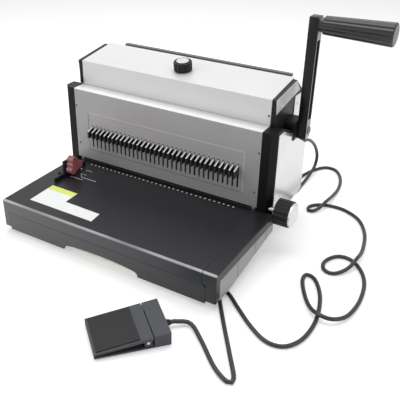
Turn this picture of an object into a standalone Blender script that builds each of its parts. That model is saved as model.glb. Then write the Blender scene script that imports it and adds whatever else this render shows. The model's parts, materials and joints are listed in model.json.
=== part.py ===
"""Desk binding machine with a wire punch, a hand lever that closes the wires, and a foot pedal.

Lengths are in metres, +Z up. The pieces are drawn in the machine's own frame: x = 0 at the middle of
the slotted front panel, y = 0 on its face, z = 0 on the desk. The root empty then centres the whole.
"""

import math

import bmesh
import bpy
from mathutils import Matrix, Vector

# Clearances
SEAT = 0.0003
RUN = 0.0006
OVERRUN = 0.0040
ROUND_SIDES = 24
FINE_SIDES = 32

# The row of slots sets the widths of the panel, the frames, the covers and the base
SLOTS = 34
PITCH = 0.0254 / 3
PANEL_MARGIN = 0.0351
PANEL_HALF = (SLOTS - 1) / 2 * PITCH + PANEL_MARGIN
FRAME_INSET = 0.0088
FRAME_IN = PANEL_HALF - FRAME_INSET
FRAME_WALL = 0.0050

# Base cover, with the table on top
BASE_PROUD_LEFT = 0.0100
BASE_PROUD_RIGHT = 0.0289
BASE_LEFT = -PANEL_HALF - BASE_PROUD_LEFT
BASE_RIGHT = PANEL_HALF + BASE_PROUD_RIGHT
BASE_FRONT = -0.1835
BASE_REAR = 0.0035
BASE_LOW = 0.0100
TABLE = 0.0584
BASE_WALL = 0.0030
BASE_EDGE = 0.0014
SKIRT_LEVEL_END = -0.1450
SKIRT_SLOPE_SHARE = 0.139
SIDE_RIM_LOW = 0.0440
SIDE_PANEL_FRONT = -0.1715
SIDE_PANEL_DEPTH = 0.0012
SIDE_RIBS_Y = (-0.1180, -0.0605, -0.0240)
SIDE_RIB_WIDTH = 0.0030
SIDE_RIB_DEPTH = 0.0006
TABLE_SEAM_INSET = 0.0217
TABLE_SEAM_X = BASE_RIGHT - TABLE_SEAM_INSET
TABLE_SEAM_WIDTH = 0.0012
TABLE_SEAM_DEPTH = 0.0010
SCREW_POST_RADIUS = 0.0034
SCREW_POST_GAP = 0.0036
SCREW_POSTS_Y = (-0.1400, -0.0400)

# Chip drawer
DRAWER_INSET_LEFT = 0.0128
DRAWER_INSET_RIGHT = 0.0167
DRAWER_LEFT = BASE_LEFT + DRAWER_INSET_LEFT
DRAWER_RIGHT = BASE_RIGHT - DRAWER_INSET_RIGHT
DRAWER_LOW = 0.0070
DRAWER_HIGH = 0.0370
DRAWER_CORNER = 0.0050
DRAWER_GAP = 0.0005
ARCH_X = 0.0070
ARCH_HALF = 0.0690
ARCH_HEIGHT = 0.0120
TRAY_GAP = 0.0040
TRAY_HALF = FRAME_IN - TRAY_GAP
TRAY_WALL = 0.0015
TRAY_HIGH = 0.0350
TRAY_REAR = 0.0950

# Pan, feet and frames
PAN_FRONT = -0.1500
PAN_REAR = 0.1255
PAN_WALL = 0.0020
PAN_LIP = 0.0094
PAN_HALF = TRAY_HALF + RUN + PAN_WALL + PAN_LIP
RUNNER_HEIGHT = 0.0120
FOOT_RADIUS = 0.0120
FOOT_INSET = 0.0240
FOOT_HALF_SPACING = PAN_HALF - FOOT_INSET
FEET_Y = (-0.1380, 0.1050)
FRAME_REAR = 0.1255
RAIL_FRONT = 0.1120
RAIL_LOW = 0.0440
RAIL_HEIGHT = 0.0060

# Slotted front panel and the upper housing
PANEL_LOW = 0.0638
LEDGE = 0.1906
LEDGE_DEPTH = 0.0266
PANEL_WALL = 0.0020
SLOT_WIDTH = 0.0032
SLOT_LOW = 0.0887
SLOT_HIGH = 0.1299
UPPER_FACE_TOP = 0.2314
UPPER_REAR = 0.1082
UPPER_REAR_TOP = 0.2420
UPPER_LIP = 0.0140

# End covers
END_IN = PANEL_HALF + SEAT
END_WIDTH = 0.0217
END_OUT = END_IN + END_WIDTH
END_WALL = 0.0025
END_REAR = 0.1295
END_LOW_FRONT = 0.0310
END_LOW_REAR = 0.0470
END_SHOULDER_Y = 0.0740
END_SHOULDER = 0.1700
END_STEP_Y = 0.0800
END_STEP = 0.1630
END_TAIL = 0.1350
END_BEVEL_FRONT = 0.0080
END_BEVEL_SIDE = 0.0075
END_POST_RADIUS = 0.0040
END_POSTS = ((0.0160, 0.1450), (0.0500, 0.0600), (0.1120, 0.0700))
SIDE_SHEET = 0.0010
SIDE_SHEET_MARGIN = 0.0040
SIDE_SHEET_FRONT = 0.0100
UPPER_END_THICK = 0.0069
UPPER_END_OUT = END_IN + UPPER_END_THICK
UPPER_END_TAIL_Y = 0.1385
UPPER_END_TAIL = 0.1600
UPPER_END_BACK_Y = 0.1310
UPPER_END_BACK = 0.2160
UPPER_END_PEAK_Y = 0.1010

# Punches, die and the plate that strips the sheets
DIE_FRONT = 0.0038
DIE_REAR = 0.0320
DIE_LOW = 0.0440
STRIPPER_FRONT = 0.0060
STRIPPER_HIGH = 0.0700
STRIPPER_LEG = 0.0080
STRIPPER_LEG_REAR = 0.0160
PUNCH_Y = 0.0140
PUNCH_SIDE = 0.0036
PUNCH_CLEARANCE = 0.0003
PUNCH_TIP = 0.0655
BEAM_FRONT = 0.0090
BEAM_REAR = 0.0200
BEAM_LOW = 0.0800
BEAM_HIGH = 0.0950
YOKE_INSET = 0.0460
YOKE_X = FRAME_IN - YOKE_INSET
YOKE_WALL = 0.0060
YOKE_RIM = 0.0050
PUNCH_TRAVEL = 0.0090
SHAFT_Y = 0.0520
SHAFT_Z = 0.1120
SHAFT_RADIUS = 0.0060
ECCENTRIC_RADIUS = 0.0160
ECCENTRIC_THROW = PUNCH_TRAVEL / 2
BEARING_RADIUS = 0.0090
BEARING_PROUD = 0.0020

# Drive gears and motor
GEAR_TEETH = 40
PINION_TEETH = 11
GEAR_MODULE = 0.0015
TOOTH_HEIGHT_SHARE = 0.75
TOOTH_DEPTH_SHARE = 1.1
TOOTH_TIP_SHARE = 0.13
TOOTH_ROOT_SHARE = 0.27
GEAR_X = 0.0250
GEAR_WIDTH = 0.0080
MOTOR_ANGLE = math.radians(-34.5)
MOTOR_RADIUS = 0.0260
MOTOR_LENGTH = 0.1000
MOTOR_END_ROUND = 0.0030
MOTOR_SHAFT_RADIUS = 0.0040
MOTOR_COLLAR_RADIUS = 0.0100
BRACKET_WALL = 0.0030
BRACKET_HALF_HEIGHT = 0.0280

# Lever and its shaft
LEVER_Y = 0.0810
LEVER_Z = 0.1730
LEVER_PITCH_RADIUS = 0.0136
BOSS_LENGTH = 0.0174
BOSS_IN = UPPER_END_OUT + SEAT
BOSS_OUT = BOSS_IN + BOSS_LENGTH
BOSS_HALF_DEPTH = 0.0170
BOSS_LOW = 0.1580
BOSS_HIGH = 0.1880
BOSS_ROUND = 0.0060
ARM_THICK = 0.0150
ARM_IN = BOSS_OUT + RUN
ARM_OUT = ARM_IN + ARM_THICK
ARM_FRONT = 0.0720
ARM_REAR = 0.0890
ARM_LOW = 0.1600
ARM_HIGH = 0.3450
ARM_EDGE = 0.0012
ARM_RECESS_LOW = 0.1910
ARM_RECESS_HIGH = 0.3110
ARM_RECESS_WIDTH = 0.0080
ARM_RECESS_DEPTH = 0.0030
BOLT_HEAD = 0.0020
GRIP_Y = 0.0800
GRIP_Z = 0.3340
GRIP_IN_RADIUS = 0.0130
GRIP_OUT_RADIUS = 0.0165
GRIP_LENGTH = 0.1042
GRIP_OUT = ARM_OUT + GRIP_LENGTH
GRIP_COLLAR = 0.0060
GRIP_FLUTES = 18
GRIP_GROOVE_SHARE = 0.94
GRIP_END_ROUND = 0.0040

# Closing carriage
HOOK_THICK = 0.0024
HOOK_REACH = -0.0135
HOOK_TIP_LOW = 0.1105
HOOK_TIP_HIGH = 0.1225
HOOK_ROOT_LOW = 0.1090
HOOK_ROOT_HIGH = 0.1270
COMB_FRONT = 0.0030
COMB_REAR = 0.0060
COMB_LOW = 0.1040
COMB_HIGH = 0.1500
ARMS_INSET = 0.0250
ARMS_THICK = 0.0060
ARMS_IN = FRAME_IN - ARMS_INSET
ARMS_OUT = ARMS_IN + ARMS_THICK
CROSS_LOW = 0.1400
RACK_FRONT = 0.0560
RACK_CLEARANCE = 0.0003
RACK_TOP = 0.2220
BRIDGE_LOW = 0.2090
COLUMN_FRONT = 0.1120
COLUMN_REAR = 0.1210
PRESS_PROUD_RIGHT = 0.0200
PRESS_LEFT = -ARMS_OUT
PRESS_RIGHT = ARMS_OUT + PRESS_PROUD_RIGHT
PRESS_FRONT = 0.1140
PRESS_REAR = 0.1220
PRESS_LOW = 0.2383
PRESS_HIGH = 0.2430
PINION_TIP_TEETH = 18
ANVIL_FRONT = 0.1120
ANVIL_LOW = 0.2080
ANVIL_HIGH = 0.2140

# Rear cover and its fittings
REAR_FRONT = 0.1258
REAR_BACK = 0.1278
REAR_LOW = 0.0310
REAR_VENTS = 12
REAR_VENT_PITCH = 0.0100
REAR_VENT_WIDTH = 0.0040
REAR_VENT_LOW = 0.1300
REAR_VENT_HIGH = 0.1700
INLET_INSET = 0.0398
INLET_X = INLET_INSET - PANEL_HALF
INLET_Z = 0.0700
INLET_HALF_WIDTH = 0.0140
INLET_HALF_HEIGHT = 0.0100
INLET_RIM = 0.0030
INLET_RIM_DEPTH = 0.0020
INLET_DEPTH = 0.0160
INLET_WELL = 0.0120
INLET_WELL_WALL = 0.0025
SWITCH_SPACING = 0.0400
SWITCH_X = INLET_X + SWITCH_SPACING
SWITCH_HALF_WIDTH = 0.0065
SWITCH_HALF_HEIGHT = 0.0100
SWITCH_RIM = 0.0020
ROCKER_PROUD = 0.0020
ROCKER_TILT = math.radians(4)

# Size knob on the slanted top
KNOB_X = 0.0035
KNOB_Y = 0.0620
KNOB_RADIUS = 0.0150
KNOB_HEIGHT = 0.0150
KNOB_FLUTES = 14
KNOB_GROOVE_SHARE = 0.93
KNOB_CAP_RADIUS = 0.0100
KNOB_CAP = 0.0012
SPINDLE_RADIUS = 0.0030
SPINDLE_LENGTH = 0.0220
NUT_HALF = 0.0080
NUT_HEIGHT = 0.0060
NUT_DROP = 0.0100
GUIDE_WALL = 0.0020
GUIDE_DEPTH = 0.0180

# Margin knob, shaft and stop bar
MARGIN_Y = 0.0080
MARGIN_Z = 0.0640
MARGIN_GAP = 0.0028
MARGIN_LENGTH = 0.0232
MARGIN_IN = BASE_RIGHT + MARGIN_GAP
MARGIN_OUT = MARGIN_IN + MARGIN_LENGTH
MARGIN_RADIUS = 0.0210
MARGIN_FLUTES = 18
MARGIN_GROOVE_SHARE = 0.955
MARGIN_CAP_RADIUS = 0.0190
MARGIN_CAP = 0.0028
MARGIN_SHAFT_RADIUS = 0.0040
MARGIN_HOLE = 0.0005
STOP_FRONT = 0.0240
STOP_REAR = 0.0280
STOP_LOW = 0.0588
STOP_HIGH = 0.0632
STOP_INSET = 0.0060
STOP_LEFT = STOP_INSET - FRAME_IN
STOP_TRAVEL = 0.0048
STOP_RACK_HEIGHT = 0.0030
STOP_RACK_FRONT = 0.0073

# Side guide with its clamp knob
GUIDE_INSET = 0.0231
GUIDE_X = GUIDE_INSET - PANEL_HALF
GUIDE_THICK = 0.0030
GUIDE_FRONT = -0.0950
GUIDE_REAR = -0.0150
GUIDE_RAIL_HIGH = 0.0660
GUIDE_TAB_HALF = 0.0075
GUIDE_TAB_HIGH = 0.0850
GUIDE_TRAVEL = 0.0060
CLAMP_Y = -0.0545
CLAMP_Z = 0.0774
CLAMP_GAP = 0.0012
CLAMP_LENGTH = 0.0120
CLAMP_IN = GUIDE_X + GUIDE_THICK + CLAMP_GAP
CLAMP_OUT = CLAMP_IN + CLAMP_LENGTH
CLAMP_LOBES = 3
CLAMP_TURN = math.radians(107)
CLAMP_HUB = 0.0105
CLAMP_REACH = 0.0170
CLAMP_LOBE_RADIUS = 0.0066
CLAMP_STUD_RADIUS = 0.0025
BRACKET_THICK = 0.0043
CLAMP_STUD_PROUD = 0.0025
BRACKET_OUT = GUIDE_X - BRACKET_THICK
CLAMP_STUD_END = BRACKET_OUT - CLAMP_STUD_PROUD
BRACKET_HALF = 0.0120
BRACKET_HIGH = 0.0840
BRACKET_FOOT_DEPTH = 0.0120
BRACKET_FOOT = BRACKET_OUT - BRACKET_FOOT_DEPTH
BRACKET_FOOT_HIGH = 0.0020

# Foot pedal, in its own frame: u along it to the cord's end, v across
PEDAL_X = 0.1290
PEDAL_Y = -0.2850
PEDAL_TURN = math.radians(48)
PEDAL_LENGTH = 0.0995
PEDAL_WIDTH = 0.0707
PEDAL_FOOT = 0.0022
PEDAL_FOOT_RADIUS = 0.0050
PEDAL_FOOT_INSET = 0.0100
PEDAL_PLATE = 0.0024
PEDAL_TOP_FRONT = 0.0095
PEDAL_TOP_REAR = 0.0220
PEDAL_TREAD_FRONT = 0.0024
PEDAL_SPLIT_SHARE = 0.78
PEDAL_PAD_SHARE = 0.60
PEDAL_PIN_SHARE = 0.70
PEDAL_PIN_Z = 0.0105
PEDAL_PIN_RADIUS = 0.0022
PEDAL_LUG_WIDTH = 0.0050
PEDAL_LUG_HALF = 0.0050
PEDAL_PAD = 0.0012
PEDAL_PAD_INSET = 0.0030

# Cord from the rear cover to the pedal
CORD_RADIUS = 0.0030
CORD_STEP = 0.0220
CORD_LEAD = 0.0060
CORD_EXIT_INSET = 0.0108
CORD_EXIT_X = PANEL_HALF - CORD_EXIT_INSET
CORD_EXIT_Z = 0.1040
RELIEF_RADIUS = 0.0060
RELIEF_END_RADIUS = 0.0038
RELIEF_LENGTH = 0.0300
GLAND_RADIUS = 0.0055
GLAND_LENGTH = 0.0080

# The cord's route: places chosen by hand, from the strain relief to the pedal
CORD_ROUTE = (
    (0.1655, 0.1780, 0.1035),
    (0.1690, 0.2000, 0.0990),
    (0.1700, 0.2280, 0.0890),
    (0.1700, 0.2570, 0.0700),
    (0.1700, 0.2780, 0.0480),
    (0.1700, 0.2860, 0.0280),
    (0.1700, 0.2760, 0.0130),
    (0.1700, 0.2480, 0.0060),
    (0.1700, 0.2170, 0.0031),
    (0.1700, 0.1880, 0.0031),
    (0.1630, 0.1680, 0.0031),
    (0.1490, 0.1620, 0.0031),
    (0.1380, 0.1720, 0.0031),
    (0.1400, 0.1930, 0.0031),
    (0.1510, 0.2120, 0.0031),
    (0.1560, 0.2400, 0.0031),
    (0.1640, 0.2740, 0.0031),
    (0.1800, 0.3040, 0.0031),
    (0.1990, 0.3080, 0.0031),
    (0.2150, 0.2920, 0.0031),
    (0.2270, 0.2650, 0.0031),
    (0.2330, 0.2320, 0.0031),
    (0.2340, 0.2000, 0.0060),
    (0.2330, 0.1700, 0.0095),
    (0.2270, 0.1430, 0.0050),
    (0.2160, 0.1340, 0.0031),
    (0.2110, 0.1470, 0.0031),
    (0.2220, 0.1620, 0.0031),
    (0.2450, 0.1700, 0.0031),
    (0.2710, 0.1670, 0.0031),
    (0.2990, 0.1480, 0.0031),
    (0.3200, 0.1100, 0.0031),
    (0.3310, 0.0610, 0.0055),
    (0.3320, 0.0280, 0.0095),
    (0.3270, 0.0000, 0.0060),
    (0.3130, -0.0180, 0.0031),
    (0.2970, -0.0160, 0.0031),
    (0.2910, 0.0040, 0.0031),
    (0.3020, 0.0270, 0.0031),
    (0.3220, 0.0300, 0.0031),
    (0.3440, 0.0110, 0.0031),
    (0.3590, -0.0200, 0.0031),
    (0.3650, -0.0630, 0.0031),
    (0.3610, -0.1020, 0.0045),
    (0.3480, -0.1230, 0.0080),
    (0.3310, -0.1260, 0.0095),
    (0.3130, -0.1140, 0.0060),
    (0.2950, -0.0880, 0.0031),
    (0.2800, -0.0580, 0.0031),
    (0.2800, -0.0410, 0.0031),
    (0.2950, -0.0470, 0.0031),
    (0.3130, -0.0760, 0.0031),
    (0.3250, -0.1140, 0.0031),
    (0.3290, -0.1480, 0.0031),
    (0.3250, -0.1800, 0.0031),
    (0.3110, -0.2010, 0.0031),
    (0.2880, -0.2040, 0.0031),
    (0.2590, -0.1880, 0.0031),
    (0.2280, -0.1630, 0.0031),
    (0.2040, -0.1430, 0.0031),
    (0.1920, -0.1410, 0.0031),
    (0.1940, -0.1530, 0.0031),
    (0.2230, -0.1970, 0.0031),
    (0.2610, -0.2510, 0.0031),
    (0.2820, -0.2820, 0.0031),
    (0.2790, -0.2920, 0.0031),
    (0.2540, -0.2790, 0.0031),
    (0.2180, -0.2470, 0.0035),
    (0.1900, -0.2270, 0.0050),
)

BODY_NAMES = (
    "chassis", "lever", "carriage", "size_knob", "size_nut", "drawer", "margin_knob",
    "margin_stop", "side_guide", "clamp", "punch", "drive", "motor_shaft", "tread", "rocker",
)


def clear_scene():
    for obj in list(bpy.data.objects):
        bpy.data.objects.remove(obj)


def collection(name, hidden=False):
    made = bpy.data.collections.new(name)
    made.hide_render = hidden
    bpy.context.scene.collection.children.link(made)
    return made


clear_scene()
PARTS = collection("binding_machine")
CUTTERS = collection("cutters", hidden=True)


def finish(name, colour, roughness, metallic=0.0):
    """A plain surface finish."""
    made = bpy.data.materials.new(name)
    made.use_nodes = True
    shader = made.node_tree.nodes["Principled BSDF"]
    shader.inputs["Base Color"].default_value = (*colour, 1.0)
    shader.inputs["Roughness"].default_value = roughness
    shader.inputs["Metallic"].default_value = metallic
    made.diffuse_color = (*colour, 1.0)
    return made


PANEL_GREY = finish("panel_grey", (0.33, 0.34, 0.36), 0.45, 0.4)
TOP_SILVER = finish("top_silver", (0.80, 0.81, 0.82), 0.35, 0.5)
BRUSHED = finish("brushed_steel", (0.62, 0.63, 0.65), 0.30, 0.9)
BLACK = finish("moulded_black", (0.010, 0.010, 0.012), 0.45)
BASE_BLACK = finish("base_black", (0.028, 0.028, 0.034), 0.50)
SIDE_GREY = finish("side_grey", (0.24, 0.24, 0.26), 0.55)
STEEL = finish("steel", (0.50, 0.50, 0.51), 0.30, 1.0)
TOOL_STEEL = finish("tool_steel", (0.30, 0.30, 0.31), 0.35, 1.0)
ZINC = finish("zinc_plate", (0.55, 0.55, 0.53), 0.40, 0.9)
HOOK_GREY = finish("hook_grey", (0.45, 0.46, 0.48), 0.40, 0.6)
BRASS = finish("bearing_bronze", (0.45, 0.30, 0.12), 0.40, 1.0)
RUBBER = finish("rubber", (0.012, 0.012, 0.012), 0.85)
CLAMP_RED = finish("clamp_red", (0.32, 0.10, 0.12), 0.40)
PEDAL_BLACK = finish("pedal_black", (0.020, 0.021, 0.026), 0.50)
CORD_BLACK = finish("cord_black", (0.020, 0.020, 0.022), 0.45)


def empty(name, place, parent=None):
    made = bpy.data.objects.new(name, None)
    made.location = place
    made.parent = parent
    PARTS.objects.link(made)
    return made


def slanted_z(y):
    """Height of the slanted top's outer face."""
    rise = (UPPER_REAR_TOP - UPPER_FACE_TOP) / (UPPER_REAR - LEDGE_DEPTH)
    return UPPER_FACE_TOP + (y - LEDGE_DEPTH) * rise


SLANT = math.atan2(UPPER_REAR_TOP - UPPER_FACE_TOP, UPPER_REAR - LEDGE_DEPTH)
KNOB_FRAME = Matrix.Translation((KNOB_X, KNOB_Y, slanted_z(KNOB_Y))) @ Matrix.Rotation(SLANT, 4, "X")
PEDAL_FRAME = Matrix.Translation((PEDAL_X, PEDAL_Y, 0)) @ Matrix.Rotation(PEDAL_TURN, 4, "Z")
GEAR_RADIUS = GEAR_TEETH * GEAR_MODULE / 2
PINION_RADIUS = PINION_TEETH * GEAR_MODULE / 2
MOTOR_Y = SHAFT_Y + (GEAR_RADIUS + PINION_RADIUS) * math.cos(MOTOR_ANGLE)
MOTOR_Z = SHAFT_Z + (GEAR_RADIUS + PINION_RADIUS) * math.sin(MOTOR_ANGLE)
PEDAL_PIN_U = (PEDAL_PIN_SHARE - 0.5) * PEDAL_LENGTH
PEDAL_SPLIT_U = (PEDAL_SPLIT_SHARE - 0.5) * PEDAL_LENGTH
REAR_OUT = REAR_BACK + SEAT

ROOT = empty("machine", (0, 0, 0))
BODY_PLACES = {
    "lever": (0, LEVER_Y, LEVER_Z),
    "size_knob": KNOB_FRAME.translation,
    "margin_knob": (MARGIN_IN, MARGIN_Y, MARGIN_Z),
    "clamp": (CLAMP_IN, CLAMP_Y, CLAMP_Z),
    "drive": (0, SHAFT_Y, SHAFT_Z),
    "motor_shaft": (GEAR_X, MOTOR_Y, MOTOR_Z),
    "tread": PEDAL_FRAME @ Vector((PEDAL_PIN_U, 0, PEDAL_PIN_Z)),
    "rocker": (SWITCH_X, REAR_BACK, INLET_Z),
}
BODIES = {name: empty(name + "_body", BODY_PLACES.get(name, (0, 0, 0)), ROOT) for name in BODY_NAMES}


def box(x, y, z, edge=0):
    """A block between the named faces, with its edges broken where edge is given."""
    bm = bmesh.new()
    bmesh.ops.create_cube(bm, size=1)
    size = Matrix.Diagonal((x[1] - x[0], y[1] - y[0], z[1] - z[0], 1))
    middle = Matrix.Translation(((x[0] + x[1]) / 2, (y[0] + y[1]) / 2, (z[0] + z[1]) / 2))
    bmesh.ops.transform(bm, matrix=middle @ size, verts=bm.verts)
    if edge:
        bmesh.ops.bevel(bm, geom=bm.edges[:], offset=edge, segments=1, profile=0.5, affect="EDGES")
    return bm


TURNS = {
    "X": Matrix(((0, 0, 1, 0), (1, 0, 0, 0), (0, 1, 0, 0), (0, 0, 0, 1))),
    "Y": Matrix(((1, 0, 0, 0), (0, 0, 1, 0), (0, 1, 0, 0), (0, 0, 0, 1))),
    "Z": Matrix.Identity(4),
}


def upright(bm):
    bmesh.ops.recalc_face_normals(bm, faces=bm.faces)
    return bm


def rod(axis, centre, radius, span, sides=ROUND_SIDES, end_radius=None):
    """A cylinder or cone along X, Y or Z; centre holds its two other coordinates."""
    bm = bmesh.new()
    bmesh.ops.create_cone(
        bm,
        cap_ends=True,
        segments=sides,
        radius1=radius,
        radius2=radius if end_radius is None else end_radius,
        depth=span[1] - span[0],
    )
    place = Matrix.Translation((centre[0], centre[1], (span[0] + span[1]) / 2))
    bmesh.ops.transform(bm, matrix=TURNS[axis] @ place, verts=bm.verts)
    return upright(bm)


def plate(axis, span, *outlines):
    """A flat outline, with holes where more outlines are given, thickened along the axis."""
    curve = bpy.data.curves.new("outline", "CURVE")
    curve.dimensions = "2D"
    curve.fill_mode = "BOTH"
    curve.extrude = (span[1] - span[0]) / 2
    for outline in outlines:
        spline = curve.splines.new("POLY")
        spline.points.add(len(outline) - 1)
        for point, (across, up) in zip(spline.points, outline):
            point.co = (across, up, 0, 1)
        spline.use_cyclic_u = True
    drawn = bpy.data.objects.new("outline", curve)
    PARTS.objects.link(drawn)
    mesh = bpy.data.meshes.new_from_object(drawn.evaluated_get(bpy.context.evaluated_depsgraph_get()))
    bpy.data.objects.remove(drawn)
    bm = bmesh.new()
    bm.from_mesh(mesh)
    bpy.data.meshes.remove(mesh)
    bmesh.ops.remove_doubles(bm, verts=bm.verts, dist=SEAT / 10)
    place = Matrix.Translation((0, 0, (span[0] + span[1]) / 2))
    bmesh.ops.transform(bm, matrix=TURNS[axis] @ place, verts=bm.verts)
    return upright(bm)


def together(*shapes):
    """Separate shapes in one mesh, for one cut or one union."""
    whole = bmesh.new()
    for bm in shapes:
        mesh = bpy.data.meshes.new("shape")
        bm.to_mesh(mesh)
        bm.free()
        whole.from_mesh(mesh)
        bpy.data.meshes.remove(mesh)
    return whole


def placed(bm, matrix):
    bmesh.ops.transform(bm, matrix=matrix, verts=bm.verts)
    return bm


def mirrored(bm):
    """The same shape on the machine's other side."""
    bmesh.ops.scale(bm, vec=(-1, 1, 1), verts=bm.verts)
    bmesh.ops.reverse_faces(bm, faces=bm.faces)
    return bm


def part(name, bm, look, body="chassis", home=None):
    """A named object, drawn in the machine's frame and carried by a body."""
    home = home or PARTS
    carrier = BODIES[body]
    bmesh.ops.translate(bm, vec=-carrier.location, verts=bm.verts)
    mesh = bpy.data.meshes.new(name)
    bm.to_mesh(mesh)
    bm.free()
    if look:
        mesh.materials.append(look)
    mesh.shade_smooth()
    mesh.set_sharp_from_angle(angle=math.radians(30))
    made = bpy.data.objects.new(name, mesh)
    made.parent = carrier
    home.objects.link(made)
    return made


def combine(target, bm, operation):
    body = target.parent.name.removesuffix("_body")
    helper = part(f"{target.name}_{operation.lower()}_{len(target.modifiers)}", bm, None, body, CUTTERS)
    helper.hide_render = True
    helper.display_type = "WIRE"
    step = target.modifiers.new(operation.lower(), "BOOLEAN")
    step.operation = operation
    step.object = helper
    step.solver = "EXACT"


def cut(target, *shapes):
    for bm in shapes:
        combine(target, bm, "DIFFERENCE")


def join(target, *shapes):
    for bm in shapes:
        combine(target, bm, "UNION")


def arc(centre, radius, start, end, steps):
    """Points on a round stretch, angles in degrees."""
    points = []
    for step in range(steps + 1):
        turn = math.radians(start + (end - start) * step / steps)
        points.append((centre[0] + radius * math.cos(turn), centre[1] + radius * math.sin(turn)))
    return points


def circle(centre, radius, sides=ROUND_SIDES):
    return arc(centre, radius, 0, 360 - 360 / sides, sides - 1)


def fluted(radius, end_radius, span, flutes, groove_share):
    """A grip with lengthwise flutes, along Z."""
    bm = bmesh.new()
    bmesh.ops.create_cone(
        bm, cap_ends=True, segments=2 * flutes, radius1=radius, radius2=end_radius, depth=span[1] - span[0]
    )
    for vert in bm.verts:
        spoke = round(math.atan2(vert.co.x, vert.co.y) * flutes / math.pi)
        if spoke % 2:
            vert.co.x *= groove_share
            vert.co.y *= groove_share
    bmesh.ops.translate(bm, vec=(0, 0, (span[0] + span[1]) / 2), verts=bm.verts)
    return upright(bm)


def along_x(bm, y, z):
    return upright(placed(bm, Matrix.Translation((0, y, z)) @ TURNS["X"]))


def gear_outline(centre, teeth, turn):
    """A spur gear's outline: straight-flanked teeth, narrow enough to run free in their mesh."""
    pitch_radius = teeth * GEAR_MODULE / 2
    tip = pitch_radius + GEAR_MODULE * TOOTH_HEIGHT_SHARE
    root = pitch_radius - GEAR_MODULE * TOOTH_DEPTH_SHARE
    step = math.tau / teeth
    points = []
    for tooth in range(teeth):
        middle = turn + tooth * step
        for radius, offset in (
            (root, -TOOTH_ROOT_SHARE),
            (tip, -TOOTH_TIP_SHARE),
            (tip, TOOTH_TIP_SHARE),
            (root, TOOTH_ROOT_SHARE),
        ):
            angle = middle + offset * step
            points.append((centre[0] + radius * math.cos(angle), centre[1] + radius * math.sin(angle)))
    return points


def skirt_z(y):
    """Height of the base's lower edge, which rises to the rear."""
    return BASE_LOW + max(0, y - SKIRT_LEVEL_END) * SKIRT_SLOPE_SHARE


def slot_places():
    return [(number - (SLOTS - 1) / 2) * PITCH for number in range(SLOTS)]


def sided(side, bm):
    return bm if side == "right" else mirrored(bm)


def base_cover():
    inside_x = (BASE_LEFT + BASE_WALL, BASE_RIGHT - BASE_WALL)
    inner_front = BASE_FRONT + BASE_WALL
    cover = part(
        "base_cover",
        box((BASE_LEFT, BASE_RIGHT), (BASE_FRONT, BASE_REAR), (BASE_LOW, TABLE), BASE_EDGE),
        BASE_BLACK,
    )
    cut(
        cover,
        box(inside_x, (inner_front, BASE_REAR + OVERRUN), (BASE_LOW - OVERRUN, TABLE - BASE_WALL)),
        box(
            (DRAWER_LEFT - DRAWER_GAP, DRAWER_RIGHT + DRAWER_GAP),
            (BASE_FRONT - OVERRUN, inner_front + BASE_WALL),
            (BASE_LOW - OVERRUN, DRAWER_HIGH + DRAWER_GAP),
        ),
    )
    slope = (
        (SKIRT_LEVEL_END, BASE_LOW - OVERRUN),
        (SKIRT_LEVEL_END, BASE_LOW),
        (BASE_REAR + OVERRUN, skirt_z(BASE_REAR + OVERRUN)),
        (BASE_REAR + OVERRUN, BASE_LOW - OVERRUN),
    )
    pocket = (
        (SIDE_PANEL_FRONT, BASE_LOW - OVERRUN),
        (SIDE_PANEL_FRONT, SIDE_RIM_LOW),
        (BASE_REAR - BASE_WALL, SIDE_RIM_LOW),
        (BASE_REAR - BASE_WALL, BASE_LOW - OVERRUN),
    )
    for outer, inward in ((BASE_LEFT, 1), (BASE_RIGHT, -1)):
        wall = sorted((outer - inward * OVERRUN, outer + inward * (BASE_WALL + OVERRUN)))
        skin = sorted((outer - inward * OVERRUN, outer + inward * SIDE_PANEL_DEPTH))
        cut(cover, plate("X", wall, slope), plate("X", skin, pocket))
    seam = (TABLE_SEAM_X - TABLE_SEAM_WIDTH / 2, TABLE_SEAM_X + TABLE_SEAM_WIDTH / 2)
    cut(
        cover,
        box(seam, (BASE_FRONT - OVERRUN, -BASE_WALL), (TABLE - TABLE_SEAM_DEPTH, TABLE + OVERRUN)),
        box(seam, (BASE_FRONT - OVERRUN, BASE_FRONT + TABLE_SEAM_DEPTH), (DRAWER_HIGH, TABLE + OVERRUN)),
    )
    post = (BASE_LOW + SEAT + PAN_WALL + SEAT, TABLE - BASE_WALL / 2)
    post_x = TRAY_HALF + SCREW_POST_GAP + SCREW_POST_RADIUS
    posts = [
        rod("Z", (x, y), SCREW_POST_RADIUS, post, ROUND_SIDES // 2)
        for x in (-post_x, post_x)
        for y in SCREW_POSTS_Y
    ]
    join(cover, together(*posts))


def base_side_plate(side, outer, inward):
    """The grey plate let into the base's flank, with a groove at each rib."""
    front = SIDE_PANEL_FRONT + SEAT
    rear = BASE_REAR - BASE_WALL - SEAT
    outline = (
        (front, BASE_LOW),
        (front, SIDE_RIM_LOW - SEAT),
        (rear, SIDE_RIM_LOW - SEAT),
        (rear, skirt_z(rear)),
        (SKIRT_LEVEL_END, BASE_LOW),
    )
    inner = outer + inward * (SIDE_PANEL_DEPTH - SEAT)
    made = part(f"base_side_plate_{side}", plate("X", sorted((outer, inner)), outline), SIDE_GREY)
    groove = sorted((outer - inward * OVERRUN, outer + inward * SIDE_RIB_DEPTH))
    half = SIDE_RIB_WIDTH / 2
    ribs = [box(groove, (y - half, y + half), (0, SIDE_RIM_LOW + OVERRUN)) for y in SIDE_RIBS_Y]
    cut(made, together(*ribs))


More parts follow.
